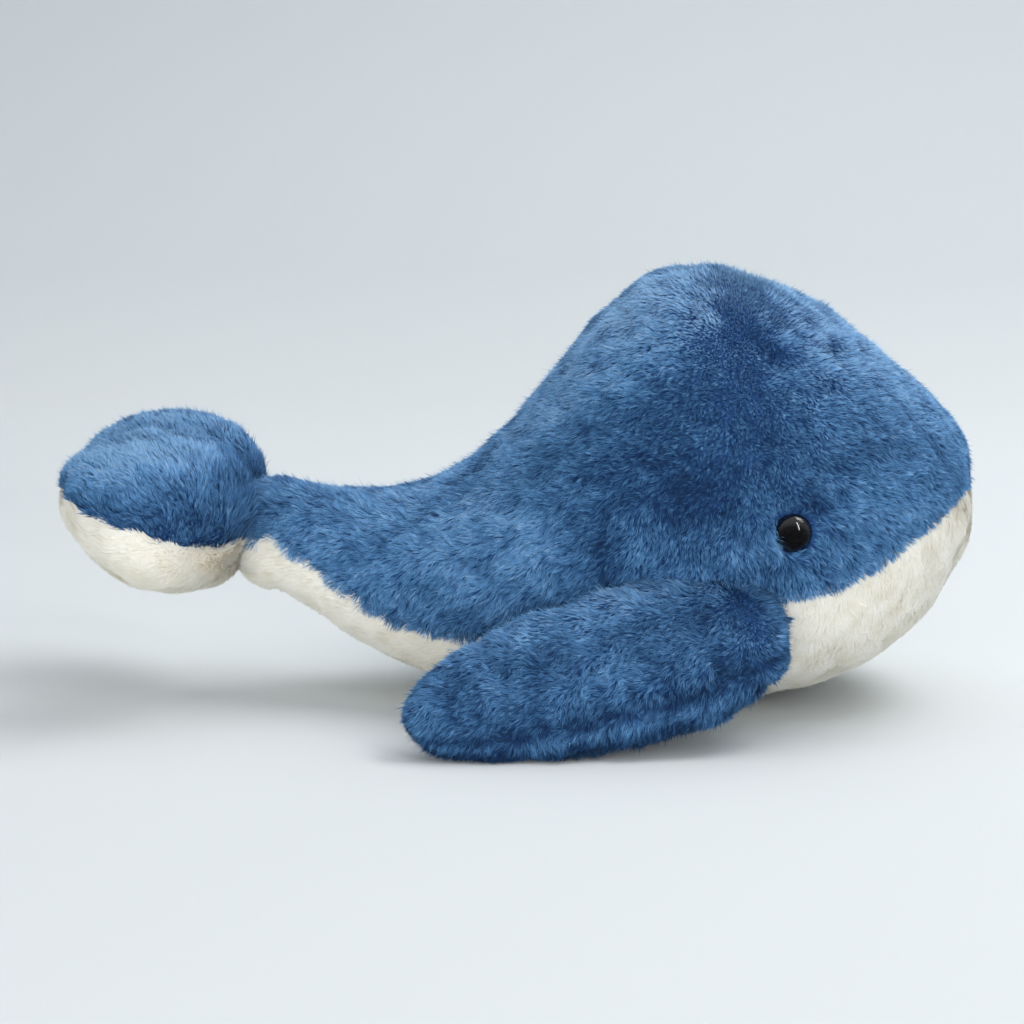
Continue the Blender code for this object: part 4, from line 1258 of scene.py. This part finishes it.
def add_floor():
    """A pale sheet that runs under the toy and curves up behind it, with painted shade up the wall. Its
    back can be seen through.
    """
    profile = [(FLOOR_FRONT_Y, 0.0)]
    for k in range(SWEEP_STEPS + 1):
        turn = math.pi / 2 * k / SWEEP_STEPS
        profile.append((SWEEP_START_Y + SWEEP_RADIUS * math.sin(turn), SWEEP_RADIUS * (1 - math.cos(turn))))
    profile.append((SWEEP_START_Y + SWEEP_RADIUS, WALL_TOP))
    points = []
    for y, z in profile:
        points += [(-FLOOR_HALF_WIDTH, y, z), (FLOOR_HALF_WIDTH, y, z)]
    mesh = bpy.data.meshes.new("sweep")
    faces = [(2 * k, 2 * k + 1, 2 * k + 3, 2 * k + 2) for k in range(len(profile) - 1)]
    mesh.from_pydata(points, [], faces)
    mesh.shade_smooth()
    made, nodes, links, shader = new_material("sweep_paper")
    place = nodes.new("ShaderNodeTexCoord")
    split = nodes.new("ShaderNodeSeparateXYZ")
    climb = nodes.new("ShaderNodeMapRange")
    climb.inputs["From Max"].default_value = WALL_SHADE_RISE
    # Painted shade: the paper is darker as it climbs the wall
    shades = ramp(nodes, [(0.0, linear(221, 226, 228)), (0.12, linear(213, 218, 220)),
                          (0.35, linear(202, 208, 211)), (1.0, linear(195, 201, 206))])
    links.new(place.outputs["Object"], split.inputs[0])
    links.new(split.outputs["Z"], climb.inputs["Value"])
    links.new(climb.outputs["Result"], shades.inputs["Fac"])
    links.new(shades.outputs["Color"], shader.inputs["Base Color"])
    shader.inputs["Roughness"].default_value = 0.95
    shader.inputs["Specular IOR Level"].default_value = 0.1
    spot = nodes.new("ShaderNodeNewGeometry")
    path = nodes.new("ShaderNodeLightPath")
    cleared = maths(nodes, "MULTIPLY")
    links.new(spot.outputs["Backfacing"], cleared.inputs[0])
    links.new(path.outputs["Is Camera Ray"], cleared.inputs[1])
    clear = nodes.new("ShaderNodeBsdfTransparent")
    links.new(cleared.outputs[0], mixed(nodes, links, shader, clear).inputs["Fac"])
    mesh.materials.append(made)
    floor = bpy.data.objects.new("sweep", mesh)
    bpy.context.scene.collection.objects.link(floor)
    floor.visible_glossy = False


def add_lamp(name, place, height, size, power, mirrored):
    """A soft lamp that faces a height over the middle. Glossy surfaces show it if it is mirrored."""
    data = bpy.data.lights.new(name, "AREA")
    data.shape = "RECTANGLE"
    data.size, data.size_y = size
    data.energy = power
    lamp = bpy.data.objects.new(name, data)
    bpy.context.scene.collection.objects.link(lamp)
    lamp.location = place
    lamp.visible_glossy = mirrored
    lamp.rotation_euler = (Vector((0, 0, height)) - Vector(place)).to_track_quat("-Z", "Y").to_euler()


def add_world():
    """Light from above and behind. The front stays dark, as the eyes show it."""
    world = bpy.data.worlds.new("studio")
    bpy.context.scene.world = world
    world.use_nodes = True
    nodes = world.node_tree.nodes
    links = world.node_tree.links
    place = nodes.new("ShaderNodeTexCoord")
    split = nodes.new("ShaderNodeSeparateXYZ")
    sky = ramp(nodes, [(0.0, (0.05, 0.05, 0.06, 1)), (0.30, (0.15, 0.16, 0.17, 1)),
                       (0.6, (0.80, 0.82, 0.85, 1)), (1.0, (0.96, 0.98, 1.0, 1))])
    total = maths(nodes, "ADD")
    share = maths(nodes, "MULTIPLY_ADD", 0.5, 0.5)
    links.new(place.outputs["Generated"], split.inputs[0])
    links.new(split.outputs["Y"], total.inputs[0])
    links.new(split.outputs["Z"], total.inputs[1])
    links.new(total.outputs[0], share.inputs[0])
    links.new(share.outputs[0], sky.inputs["Fac"])
    links.new(sky.outputs["Color"], nodes["Background"].inputs["Color"])
    nodes["Background"].inputs["Strength"].default_value = SKY_STRENGTH


def add_camera():
    """The photograph's view."""
    aim = Vector(VIEW_AIM)
    rise = math.radians(VIEW_RISE_DEG)
    place = aim + Vector((0.0, -math.cos(rise), math.sin(rise))) * VIEW_DISTANCE
    data = bpy.data.cameras.new("camera")
    data.lens = VIEW_LENS_MM
    data.sensor_width = VIEW_SENSOR_MM
    camera = bpy.data.objects.new("camera", data)
    bpy.context.scene.collection.objects.link(camera)
    camera.location = place
    camera.rotation_euler = (aim - place).to_track_quat("-Z", "Y").to_euler()
    bpy.context.scene.camera = camera


add_camera()
add_world()
add_floor()
for name, lamp in LAMPS.items():
    add_lamp(name, *lamp)
bpy.context.scene.cycles.max_bounces = LIGHT_BOUNCES
bpy.context.scene.cycles.diffuse_bounces = DIFFUSE_BOUNCES
add_body()
add_flippers()
add_fluke()
add_eyes()
dress_washers()
bpy.context.scene.view_settings.view_transform = "Standard"
